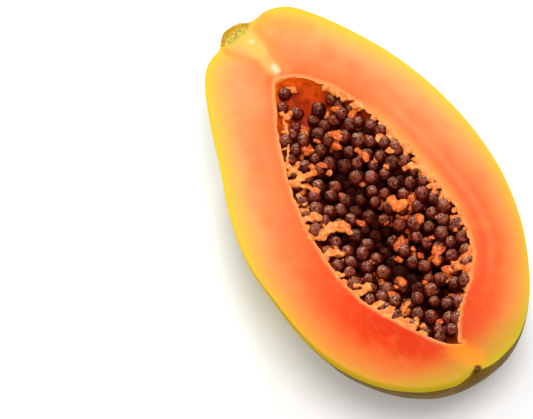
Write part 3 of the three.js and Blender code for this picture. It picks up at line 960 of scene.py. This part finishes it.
# %% The frayed lip
TAB_COUNT = 80
SLIM_SHARE = 0.24
FULL_TABS, SLIM_TABS = (0.2, 0.93), (0.36, 0.86)
tabs = []
for i in range(TAB_COUNT):
    side = 1 if draw(0, 1) > SLIM_SHARE else -1
    place = draw(*(FULL_TABS if side > 0 else SLIM_TABS))
    root = hollow_wall(np.array([place]), np.array([0.0 if side > 0 else -math.pi]))[0]
    reach, lean = draw(0.8, 3.4), draw(-2.5, 2.5)
    drop, rise = draw(0.8, 3.2), draw(-1.6, -0.5)
    path = [
        root + [0, side * 1.8, -2.2],
        root + [0, side * 0.3, rise],
        root + [lean * 0.4, -side * reach * 0.5, rise - drop * 0.3],
        root + [lean, -side * reach, rise - drop],
    ]
    wide = draw(0.6, 1.9)
    radii = [wide * 1.5, wide, wide * draw(0.6, 1.2), wide * draw(0.3, 0.9)]
    tabs.append(finger(path, radii, draw(0.3, 0.6), 100 + i, 12, 16, 0.35))
print(len(tabs), "tabs")

# %% [markdown]
# So far these are separate rods and balls that pass through each other. Real torn flesh is one web. Booleans
# could fuse a few of them, but hundreds would take long and leave sharp seams. A voxel remesh fuses them
# all, a smoothing rounds the places where they meet, and noise along the normals then makes the wet,
# uneven surface. A number for its colour is kept on its points: thin and bright at the top, thick and dark
# between the seeds, and thicker on the full side near the blossom end. The brightness by height is partly
# thinness and partly painted light, and the dark low down between the seeds is painted shade.

# %% One web of torn flesh
VOXEL = 0.38
web = join(threads + strands + lumps + scraps + tabs, "papaya_torn_flesh")
fused = web.modifiers.new("fused", "REMESH")
fused.mode = "VOXEL"
fused.voxel_size = VOXEL * MM
rounded = web.modifiers.new("rounded", "SMOOTH")
rounded.factor = 0.6
rounded.iterations = 3
for name in ("fused", "rounded"):
    bpy.ops.object.modifier_apply(modifier=name)
bpy.ops.object.shade_smooth()
web_points = read_points(web) / MM - [STEM_X, AXIS_Y, CUT_HEIGHT]
normals = np.empty(len(web_points) * 3, np.float32)
web.data.vertices.foreach_get("normal", normals)
uneven = 0.42 * ripple(web_points, 1.9, 70) + 0.07 * ripple(web_points, 0.8, 71)
web_points += normals.reshape(-1, 3) * uneven[:, None]
move_points(web, to_frame(web_points))
# Brighter higher up and darker low down: partly thinness, partly painted light and shade by height.
height = smoothstep(-9, -0.5, web_points[:, 2])
thicker = 0.32 * smoothstep(104, 130, web_points[:, 0]) * smoothstep(6, 16, web_points[:, 1])
store(web, "thinness_and_painted_light", np.clip(0.75 * height + 0.25 + 0.3 * uneven - thicker, 0, 1))
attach(web, "root")
print("web of torn flesh:", len(web.data.polygons), "faces")

# %% [markdown]
# Materials are small trees of nodes. They could be built by hand in the shader editor, but then nobody could
# read how. A few plain helpers keep their cells short: one adds a node and links or sets its inputs, and one
# turns a colour read from a screen into the linear colour that nodes take.

# %% Helpers that build materials


def paint(red, green, blue):
    """A colour from 0 to 255, as seen on a screen, as the linear colour of a node."""
    seen = [part / 255 for part in (red, green, blue)]
    return (*(c / 12.92 if c < 0.04045 else ((c + 0.055) / 1.055) ** 2.4 for c in seen), 1)


def add(tree, kind, inputs=None, **settings):
    """Adds a node, with its settings, and links or sets its inputs."""
    made = tree.nodes.new("ShaderNode" + kind)
    for name, value in settings.items():
        setattr(made, name, value)
    for name, value in (inputs or {}).items():
        if isinstance(value, bpy.types.NodeSocket):
            tree.links.new(value, made.inputs[name])
        else:
            made.inputs[name].default_value = value
    return made


def maths(tree, operation, first, second=0.0):
    return add(tree, "Math", {0: first, 1: second}, operation=operation).outputs[0]


def times(tree, first, second):
    return maths(tree, "MULTIPLY", first, second)


def vector_maths(tree, operation, first, second, output="Vector"):
    return add(tree, "VectorMath", {0: first, 1: second}, operation=operation).outputs[output]


def mixed(tree, factor, first, second, blend_type="MIX"):
    made = add(tree, "Mix", {0: factor, 6: first, 7: second}, data_type="RGBA", blend_type=blend_type)
    return made.outputs[2]


def attribute(tree, name):
    return add(tree, "Attribute", attribute_name=name).outputs["Fac"]


def ramp(tree, factor, stops):
    """Colours along a number from 0 to 1."""
    made = add(tree, "ValToRGB", {0: factor})
    elements = made.color_ramp.elements
    elements.remove(elements[-1])
    elements[0].position, elements[0].color = stops[0][0], paint(*stops[0][1])
    for place, color in stops[1:]:
        elements.new(place).color = paint(*color)
    return made.outputs[0]


def between(tree, value, low, high, to_low=0.0, to_high=1.0):
    """A number carried from one range to another, smoothly, and held at both ends."""
    values = {0: value, 1: low, 2: high, 3: to_low, 4: to_high}
    return add(tree, "MapRange", values, interpolation_type="SMOOTHSTEP").outputs[0]


def open_material(made):
    """The node tree of a material, its shader, and the place of a point on the piece."""
    made.use_nodes = True
    tree = made.node_tree
    return tree, tree.nodes["Principled BSDF"], add(tree, "TexCoord").outputs["Object"]


def dress(tree, shader, color, roughness, grain, strength, grain_height):
    """Gives a shader its colour, its roughness, and a fine grain with its height in millimetres."""
    values = {"Height": grain, "Strength": strength, "Distance": grain_height * MM}
    tree.links.new(color, shader.inputs["Base Color"])
    tree.links.new(roughness, shader.inputs["Roughness"])
    tree.links.new(add(tree, "Bump", values).outputs[0], shader.inputs["Normal"])


def new_group(name, inputs, outputs):
    """An empty node group, with what it is given and what it gives back."""
    tree = bpy.data.node_groups.new(name, "ShaderNodeTree")
    for label, kind, value in inputs:
        socket = tree.interface.new_socket(label, in_out="INPUT", socket_type="NodeSocket" + kind)
        socket.default_value = value
    for label, kind in outputs:
        tree.interface.new_socket(label, in_out="OUTPUT", socket_type="NodeSocket" + kind)
    return tree, tree.nodes.new("NodeGroupInput").outputs, tree.nodes.new("NodeGroupOutput").inputs


print("a pale orange, as nodes take it:", [round(part, 3) for part in paint(255, 166, 100)])

# %% [markdown]
# Two effects serve every surface of the fruit. Mottling is soft noise of a given size, pushed to a mask.
# A mark is a soft line or spot at a given place, with an uneven edge: the veins at the stem, its pale core
# and the dark scar. Each is built once as a node group and is given its own values wherever it is used.

# %% Mottling and marks
MARK_UNEVENNESS = 1.0

mottle_tree, given, result = new_group(
    "mottle",
    [("Point", "Vector", (0, 0, 0)), ("Size", "Float", 0.01), ("From", "Float", 0.4), ("To", "Float", 0.6)],
    [("Mask", "Float")],
)
scale = maths(mottle_tree, "DIVIDE", 1.0, given["Size"])
grain = add(mottle_tree, "TexNoise", {"Vector": given["Point"], "Scale": scale, "Detail": 3.0})
mottle_tree.links.new(between(mottle_tree, grain.outputs[0], given["From"], given["To"]), result["Mask"])

mark_tree, given, result = new_group(
    "mark",
    [("Point", "Vector", (0, 0, 0)), ("Start", "Vector", (0, 0, 0)), ("Run", "Vector", (0, 0, 0)),
     ("Width", "Float", 0.001), ("Soft", "Float", 0.5), ("Uneven", "Float", 0.0005)],
    [("Mask", "Float")],
)
rough = add(mark_tree, "TexNoise", {"Vector": given["Point"], "Scale": 700.0, "Detail": 2.0}).outputs[0]
rough = times(mark_tree, maths(mark_tree, "SUBTRACT", rough, 0.5), given["Uneven"])
reach = vector_maths(mark_tree, "SUBTRACT", given["Point"], given["Start"])
onto = vector_maths(mark_tree, "DOT_PRODUCT", reach, given["Run"], "Value")
whole = vector_maths(mark_tree, "DOT_PRODUCT", given["Run"], given["Run"], "Value")
share = maths(mark_tree, "DIVIDE", onto, maths(mark_tree, "ADD", whole, 1e-9))
share = add(mark_tree, "Clamp", {0: share}).outputs[0]
foot = add(mark_tree, "VectorMath", {0: given["Run"], "Scale": share}, operation="SCALE").outputs[0]
gap = vector_maths(mark_tree, "DISTANCE", reach, foot, "Value")
gap = maths(mark_tree, "ADD", gap, rough)
inner = times(mark_tree, given["Width"], maths(mark_tree, "SUBTRACT", 1.0, given["Soft"]))
outer = times(mark_tree, given["Width"], maths(mark_tree, "ADD", 1.0, given["Soft"]))
mark_tree.links.new(between(mark_tree, gap, inner, outer, 1.0, 0.0), result["Mask"])


def mottle(tree, point, size, low, high):
    """Soft noise with patches of a size in millimetres, as a mask."""
    values = {"Point": point, "Size": size * MM, "From": low, "To": high}
    return add(tree, "Group", values, node_tree=mottle_tree).outputs[0]


def patchy(tree, point, size, low, high):
    """A number that drifts between two values from patch to patch."""
    return between(tree, mottle(tree, point, size, 0.3, 0.7), 0.0, 1.0, low, high)


def mark(tree, point, start, end, width, soft):
    """A soft mark on the cut from what one pixel shows to what another does, its width in millimetres."""
    start, end = (Vector(to_frame([*under_pixel(*pixel, 0), 0])) for pixel in (start, end))
    values = {"Point": point, "Start": start, "Run": end - start}
    values.update({"Width": width * MM, "Soft": soft, "Uneven": MARK_UNEVENNESS * MM})
    return add(tree, "Group", values, node_tree=mark_tree).outputs[0]


print("node groups:", [g.name for g in bpy.data.node_groups])

# %% [markdown]
# Ripe flesh runs from yellow under the peel through salmon to coral at the hollow, and is redder towards the
# blossom end. A painted picture could show that on this one face only. Two colour ramps along the way
# inwards give a pale and a deep colour instead, and a mask kept on the points mixes them. That mask is
# partly the flesh's own ripening and partly painted light: the paler stem end stands for the soft sheen on
# the wet cut, and the darker blossom end and slim side are painted shade. Blotches, clouds and fibres that
# run along the fruit then break up the even run of colour.

# %% The flesh, from the peel to the hollow
tree, shader, point = open_material(flesh)
along, inwards = attribute(tree, "along"), attribute(tree, "inward")
lip_distance, on_full_side = attribute(tree, "from_lip"), attribute(tree, "full_side")
drift = times(tree, maths(tree, "SUBTRACT", mottle(tree, point, 16, 0.2, 0.8), 0.5), 0.07)
held = times(tree, inwards, maths(tree, "SUBTRACT", 1.0, inwards))
inwards = maths(tree, "ADD", inwards, times(tree, drift, times(tree, held, 3.0)))
pale_color = ramp(tree, inwards, [
    (0, (216, 178, 16)), (0.018, (238, 192, 26)), (0.05, (248, 192, 56)), (0.13, (253, 180, 76)),
    (0.35, (255, 159, 93)), (0.6, (255, 134, 79)), (0.8, (255, 123, 67)), (0.95, (252, 110, 53)),
])
deep_color = ramp(tree, inwards, [
    (0, (188, 160, 14)), (0.02, (212, 166, 26)), (0.08, (226, 150, 50)), (0.25, (229, 126, 52)),
    (0.45, (232, 103, 40)), (0.7, (224, 52, 0)), (0.95, (218, 38, 0)),
])
# Mixed by a mask that is partly ripening and partly painted light and shade.
color = mixed(tree, attribute(tree, "deepness_and_painted_light"), pale_color, deep_color)
blotches = times(tree, mottle(tree, point, 11, 0.46, 0.68), between(tree, inwards, 0.15, 0.5, 0, 0.25))
color = mixed(tree, blotches, color, paint(250, 88, 38))
clouds = times(tree, mottle(tree, point, 7, 0.45, 0.8), 0.1)
color = mixed(tree, clouds, color, paint(255, 170, 80))
fibre_run = add(tree, "Mapping", {"Vector": point, "Scale": (0.25, 1.0, 1.0)}).outputs[0]
fibres = times(tree, mottle(tree, fibre_run, 1.3, 0.45, 0.7), 0.045)
color = mixed(tree, fibres, color, paint(255, 170, 90))
print("flesh so far:", len(tree.nodes), "nodes")

# %% [markdown]
# Near the lip the flesh was torn rather than cut. On the full side that shows as a pale band with a brighter
# edge and a faint ridge behind it, which fade towards the blossom end, and a thin pale line follows the
# whole lip. Towards the blossom the cut turns browner, and its red is dimmed a little all over, which is
# painted shade where the light falls off. One ramp could not hold all of this, so each of them has a mask
# of its own, made of the distances kept on the points.

# %% The lip and the blossom end
TORN_FADES = (112.0, 145.0)
RIDGE_FROM_LIP = 8.0
torn_band = times(tree, on_full_side, between(tree, lip_distance, 0.8, 6.6, 0.8, 0.0))
torn_band = times(tree, torn_band, between(tree, along, *TORN_FADES, 1.0, 0.3))
color = mixed(tree, torn_band, color, paint(255, 150, 82))
torn_edge = times(tree, on_full_side, between(tree, lip_distance, 0.5, 3.2, 0.75, 0.0))
torn_edge = times(tree, torn_edge, between(tree, along, *TORN_FADES, 1.0, 0.5))
color = mixed(tree, torn_edge, color, paint(255, 148, 50))
from_ridge = maths(tree, "ABSOLUTE", maths(tree, "SUBTRACT", lip_distance, RIDGE_FROM_LIP))
ridge = times(tree, on_full_side, between(tree, from_ridge, 0.2, 2.8, 0.14, 0.0))
color = mixed(tree, ridge, color, paint(255, 172, 118))
lip_line = between(tree, lip_distance, 0.2, 2.2, 0.75, 0.0)
color = mixed(tree, lip_line, color, paint(255, 166, 100))
end_mask = between(tree, along, 172.0, 186.0, 0.0, 0.8)
end_color = ramp(tree, inwards, [
    (0, (196, 168, 16)), (0.12, (202, 156, 40)), (0.5, (210, 136, 44)), (1, (224, 110, 32)),
])
color = mixed(tree, end_mask, color, end_color)
# Painted shade: the red is dimmed towards the blossom end, where the light falls off.
painted_falloff_shade = between(tree, along, 125.0, 182.0)
color = mixed(tree, painted_falloff_shade, color, paint(238, 255, 255), "MULTIPLY")
print("flesh with its lip:", len(tree.nodes), "nodes")

# %% [markdown]
# At the stem end the cut shows a pale core, veins that part round the hollow and a crescent of dry peel on
# the stub, and at the blossom end a warm spot and the start of a dark scar. They could be painted by hand,
# but soft strokes between named places say it in one short list. A row gives two pixels, a width in
# millimetres, a softness, a colour and a strength. A last stroke, broken up by mottling, dries the stub.

# %% Marks on the cut
CUT_MARKS = [
    ((264, 21), (306, 30), 3.8, 0.9, (252, 146, 60), 0.55),
    ((245, 82), (254, 104), 5.5, 0.9, (255, 164, 104), 0.45),
    ((240, 34), (257, 49), 4.3, 0.6, (252, 194, 92), 0.8),
    ((256, 48), (273, 69), 2.8, 0.7, (255, 184, 92), 0.75),
    ((226, 51), (245, 61), 1.5, 0.7, (255, 148, 66), 0.75),
    ((245, 61), (263, 77), 1.6, 0.8, (255, 146, 76), 0.4),
    ((258, 29), (270, 43), 2.2, 0.7, (255, 146, 62), 0.7),
    ((270, 43), (287, 70), 1.9, 0.8, (255, 140, 66), 0.65),
    ((274, 67), (277, 71), 1.3, 0.9, (255, 214, 176), 0.85),
    ((250.5, 41), (252, 42), 0.8, 0.9, (255, 226, 160), 0.7),
    ((231, 41), (242, 32), 2.4, 0.7, (202, 184, 74), 0.95),
    ((221, 45), (223.5, 36), 1.2, 0.7, (196, 148, 14), 0.9),
    ((223.5, 36), (232, 28.5), 1.8, 0.6, (180, 138, 8), 0.9),
    ((232, 28.5), (247, 25), 1.2, 0.7, (196, 146, 20), 0.85),
    ((458, 349), (474, 358), 3.6, 0.9, (250, 142, 30), 0.7),
    ((478, 368.5), (473.5, 376), 1.4, 0.4, (62, 6, 18), 0.95),
]
for start, end, width, soft, tint, strength in CUT_MARKS:
    mask = times(tree, mark(tree, point, start, end, width, soft), strength)
    color = mixed(tree, mask, color, paint(*tint))
dry = times(tree, mark(tree, point, (222, 43), (245, 26), 2.6, 0.5), mottle(tree, point, 1.5, 0.42, 0.6))
color = mixed(tree, times(tree, dry, 0.6), color, paint(138, 112, 6))
print(len(CUT_MARKS), "marks on the cut, and the dry stub")

# %% [markdown]
# Two places are left: the olive rim where the slim side rolls over into the peel, partly the peel's own
# olive and partly painted shade, and the wall of the hollow. The wall is worn in patches where seeds sat,
# and its colour darkens with depth, which is painted shade in the hollow. A lamp in the hollow could shade
# it too, but colour by depth holds from every side. Flesh is wet and lets light in, so it gets a little
# scattering, a gloss that drifts from patch to patch, and a grain.

# %% The rim, the wall and the wet finish
WALL_DEEPEST = 30.0
# The olive rim: the peel's own olive, and painted shade where the rim rolls under.
rim_width = between(tree, along, 90.0, 175.0, 1.3, 0.55)
rim_place = times(tree, attribute(tree, "from_rim"), rim_width)
rim_shade = times(tree, between(tree, rim_place, 0.35, 1.6, 0.85, 0.0), between(tree, along, 70.0, 125.0))
rim_shade = times(tree, rim_shade, attribute(tree, "slim_side"))
color = mixed(tree, rim_shade, color, paint(158, 132, 0))

# Painted shade: the wall's colour darkens with depth in the hollow.
wall_depth = attribute(tree, "wall_depth")
unevenly = times(tree, maths(tree, "SUBTRACT", mottle(tree, point, 2.4, 0.2, 0.8), 0.5), 1.6)
wall_place = maths(tree, "DIVIDE", maths(tree, "ADD", wall_depth, unevenly), WALL_DEEPEST)
wall_color_and_shade = ramp(tree, wall_place, [
    (0, (255, 166, 100)), (0.03, (248, 136, 56)), (0.08, (240, 98, 16)), (0.28, (224, 72, 4)),
    (0.6, (178, 36, 0)), (1, (104, 10, 0)),
])
blossom_end = between(tree, along, 146.0, 162.0, 0.0, 0.85)
wall_color_and_shade = mixed(tree, blossom_end, wall_color_and_shade, paint(84, 10, 0))
worn = times(tree, mottle(tree, point, 5.5, 0.42, 0.66), 0.65)
worn = times(tree, worn, between(tree, wall_depth, 2.0, 6.0))
wall_color_and_shade = mixed(tree, worn, wall_color_and_shade, paint(140, 22, 0))
color = mixed(tree, between(tree, wall_depth, 0.0, 0.6), color, wall_color_and_shade)

shader.inputs["Subsurface Weight"].default_value = 0.12
shader.inputs["Subsurface Radius"].default_value = (1.0, 0.35, 0.12)
shader.inputs["Subsurface Scale"].default_value = 0.003
shader.inputs["Specular IOR Level"].default_value = 0.08
coarse = times(tree, mottle(tree, point, 3.5, 0.2, 0.8), 1.5)
flesh_grain = maths(tree, "ADD", mottle(tree, point, 1.1, 0.2, 0.8), coarse)
dress(tree, shader, color, patchy(tree, point, 2.5, 0.34, 0.5), flesh_grain, 0.16, 0.2)
print("flesh:", len(tree.nodes), "nodes")

# %% [markdown]
# The peel is waxy and thin. It is yellow where the fruit is ripe and olive where it isn't, and browner
# towards the blossom end, with faint streaks along the fruit, a dusting of dark specks and, at the tip,
# the scar that the flower left. Plain mottling would look like stone here, so the streaks are noise that
# is drawn out along the fruit by the numbers kept on its points.

# %% The peel
tree, shader, point = open_material(peel)
along, around = attribute(tree, "along"), attribute(tree, "around")
drawn_out = {0: times(tree, along, 0.02), 1: times(tree, around, 0.35)}
lengthwise = add(tree, "CombineXYZ", drawn_out).outputs[0]
streaks = add(tree, "TexNoise", {"Vector": lengthwise, "Scale": 1.0, "Detail": 3.0}).outputs[0]
# Darker and more olive towards the underside: partly the peel's own colour, partly painted shade.
color = ramp(tree, maths(tree, "DIVIDE", around, 180.0), [
    (0, (226, 194, 18)), (0.2, (210, 182, 16)), (0.5, (176, 154, 16)), (0.8, (218, 190, 16)),
    (1, (230, 196, 20)),
])
unripe = times(tree, mottle(tree, point, 26, 0.34, 0.74), 0.75)
color = mixed(tree, unripe, color, paint(156, 146, 18))
streaked = times(tree, between(tree, streaks, 0.4, 0.75), 0.25)
color = mixed(tree, streaked, color, paint(112, 112, 18))
color = mixed(tree, between(tree, along, 95.0, 160.0, 0.0, 0.9), color, paint(90, 54, 0))
specks = times(tree, mottle(tree, point, 1.4, 0.62, 0.7), 0.7)
color = mixed(tree, specks, color, paint(95, 95, 35))
spots = times(tree, mottle(tree, point, 4.5, 0.64, 0.72), 0.6)
color = mixed(tree, spots, color, paint(105, 75, 25))
bright_rim = between(tree, attribute(tree, "from_rim"), 0.2, 1.3, 0.7, 0.0)
color = mixed(tree, bright_rim, color, paint(206, 184, 10))
scar = times(tree, mark(tree, point, (478, 368.5), (473, 377.5), 1.5, 0.4), 0.9)
color = mixed(tree, scar, color, paint(50, 14, 8))
shader.inputs["Specular IOR Level"].default_value = 0.02
shader.inputs["Specular Tint"].default_value = (1.0, 0.8, 0.3, 1)
pores = maths(tree, "ADD", mottle(tree, point, 0.9, 0.2, 0.8), times(tree, streaks, 2.0))
dress(tree, shader, color, patchy(tree, point, 6, 0.36, 0.52), pores, 0.3, 0.3)
print("peel:", len(tree.nodes), "nodes")

# %% [markdown]
# Each seed is dark brown under a clear wet skin. Its colour comes from the number kept on its points, so no
# two neighbours match. Painted light lightens the tops with a mottled speckle. A clear coat alone would give
# one hard glint, but a wrinkled skin has a broken, milky one. So a mottled sheen is painted where a seed
# faces the back lamp, stronger on some than on others, under a thin coat. Painted shade darkens the sides
# and the deep seeds, and a painted red glow, light bounced from the flesh, lights the undersides.

# %% The seeds' skin
FACES_BACK_LAMP = (-0.5, 0.15, 0.85)
seed_skin = bpy.data.materials.new("papaya_seed_skin")
tree, shader, point = open_material(seed_skin)
tone, sunk = attribute(tree, "tone"), attribute(tree, "sunk")
normal = add(tree, "NewGeometry").outputs["Normal"]
upwards = add(tree, "SeparateXYZ", {0: normal}).outputs["Z"]
color = ramp(tree, tone, [
    (0, (70, 11, 4)), (0.3, (112, 26, 9)), (0.6, (84, 15, 5)), (0.8, (124, 37, 17)), (1, (58, 8, 3)),
])
# Painted light: the tops of the seeds are lightened with a mottled speckle.
lit_top = times(tree, between(tree, upwards, 0.3, 1.0), 0.55)
painted_top_light = times(tree, mottle(tree, point, 1.6, 0.36, 0.56), lit_top)
color = mixed(tree, painted_top_light, color, paint(178, 92, 60))
pits = times(tree, mottle(tree, point, 1.3, 0.52, 0.64), 0.85)
color = mixed(tree, pits, color, paint(38, 7, 4))
facing = vector_maths(tree, "DOT_PRODUCT", normal, FACES_BACK_LAMP, "Value")
sheen = times(tree, between(tree, facing, 0.68, 0.96), mottle(tree, point, 0.8, 0.4, 0.6))
own_gloss = maths(tree, "FRACT", times(tree, tone, 7.3))
sheen = times(tree, sheen, between(tree, own_gloss, 0.0, 1.0, 0.4, 0.95))
color = mixed(tree, sheen, color, paint(204, 152, 126))
# Painted shade: the sides of each seed are darkened.
painted_side_shade = times(tree, between(tree, upwards, 0.75, 0.2), 0.72)
color = mixed(tree, painted_side_shade, color, paint(60, 9, 4))
# Painted red light, bounced from the flesh, on the undersides.
color = mixed(tree, between(tree, upwards, 0.25, -0.5, 0.0, 0.8), color, paint(125, 22, 4))
# Painted shade: the deeper a seed lies, the darker it is.
color = mixed(tree, between(tree, sunk, 12.0, 16.5, 0.0, 0.95), color, paint(42, 6, 3))
tree.links.new(between(tree, sunk, 8.0, 15.0, 0.3, 0.0), shader.inputs["Coat Weight"])
shader.inputs["Coat Roughness"].default_value = 0.13
shader.inputs["Specular IOR Level"].default_value = 0.02
fine_wrinkles = times(tree, mottle(tree, point, 0.5, 0.3, 0.7), 0.5)
wrinkles = maths(tree, "ADD", mottle(tree, point, 1.1, 0.3, 0.7), fine_wrinkles)
dress(tree, shader, color, patchy(tree, point, 1.2, 0.3, 0.5), wrinkles, 0.7, 0.4)
for piece in (seeds, deep, shade_body):
    piece.data.materials.clear()
    piece.data.materials.append(seed_skin)
print("seeds' skin:", len(tree.nodes), "nodes")

# %% [markdown]
# The threads are the same flesh, but thin and wet: light passes through them, so they glow pale orange where
# they are thin. Real transparency would be slow and noisy. Much scattering over a short way, and a colour
# that follows a number kept on the points, look the same. That number is partly thinness and partly painted
# light and shade by height: pale high up, dark red low down between the seeds.

# %% The threads
thread_skin = bpy.data.materials.new("papaya_thread_skin")
tree, shader, point = open_material(thread_skin)
# Painted light and shade by height, as well as thinness: pale high up, dark red low down.
color = ramp(tree, attribute(tree, "thinness_and_painted_light"), [
    (0, (172, 48, 0)), (0.5, (228, 100, 14)), (0.85, (248, 140, 42)), (1, (253, 157, 74)),
])
redder = times(tree, mottle(tree, point, 3.0, 0.42, 0.6), 0.7)
color = mixed(tree, redder, color, paint(232, 98, 8))
paler = times(tree, mottle(tree, point, 1.2, 0.52, 0.68), 0.5)
color = mixed(tree, paler, color, paint(255, 190, 125))
shader.inputs["Subsurface Weight"].default_value = 0.45
shader.inputs["Subsurface Radius"].default_value = (1.0, 0.4, 0.15)
shader.inputs["Subsurface Scale"].default_value = 0.002
shader.inputs["Specular IOR Level"].default_value = 0.3
shader.inputs["Coat Weight"].default_value = 0.3
shader.inputs["Coat Roughness"].default_value = 0.12
thread_grain = mottle(tree, point, 1.0, 0.2, 0.8)
dress(tree, shader, color, patchy(tree, point, 1.5, 0.25, 0.42), thread_grain, 0.5, 0.3)
web.data.materials.clear()
web.data.materials.append(thread_skin)
print("threads:", len(tree.nodes), "nodes")

# %% [markdown]
# The table is plain and pale, a matt board with the faintest change of tone, so that nothing on it draws the
# eye. A plain white would do, but a little mottling keeps it from looking like empty paper.

# %% The table's finish
board = bpy.data.materials.new("pale_table")
tree, shader, point = open_material(board)
board_color = ramp(tree, mottle(tree, point, 60, 0.3, 0.7), [(0, (252, 252, 253)), (1, (255, 255, 255))])
tree.links.new(board_color, shader.inputs["Base Color"])
shader.inputs["Roughness"].default_value = 0.85
floor.data.materials.append(board)
print("table:", len(tree.nodes), "nodes")
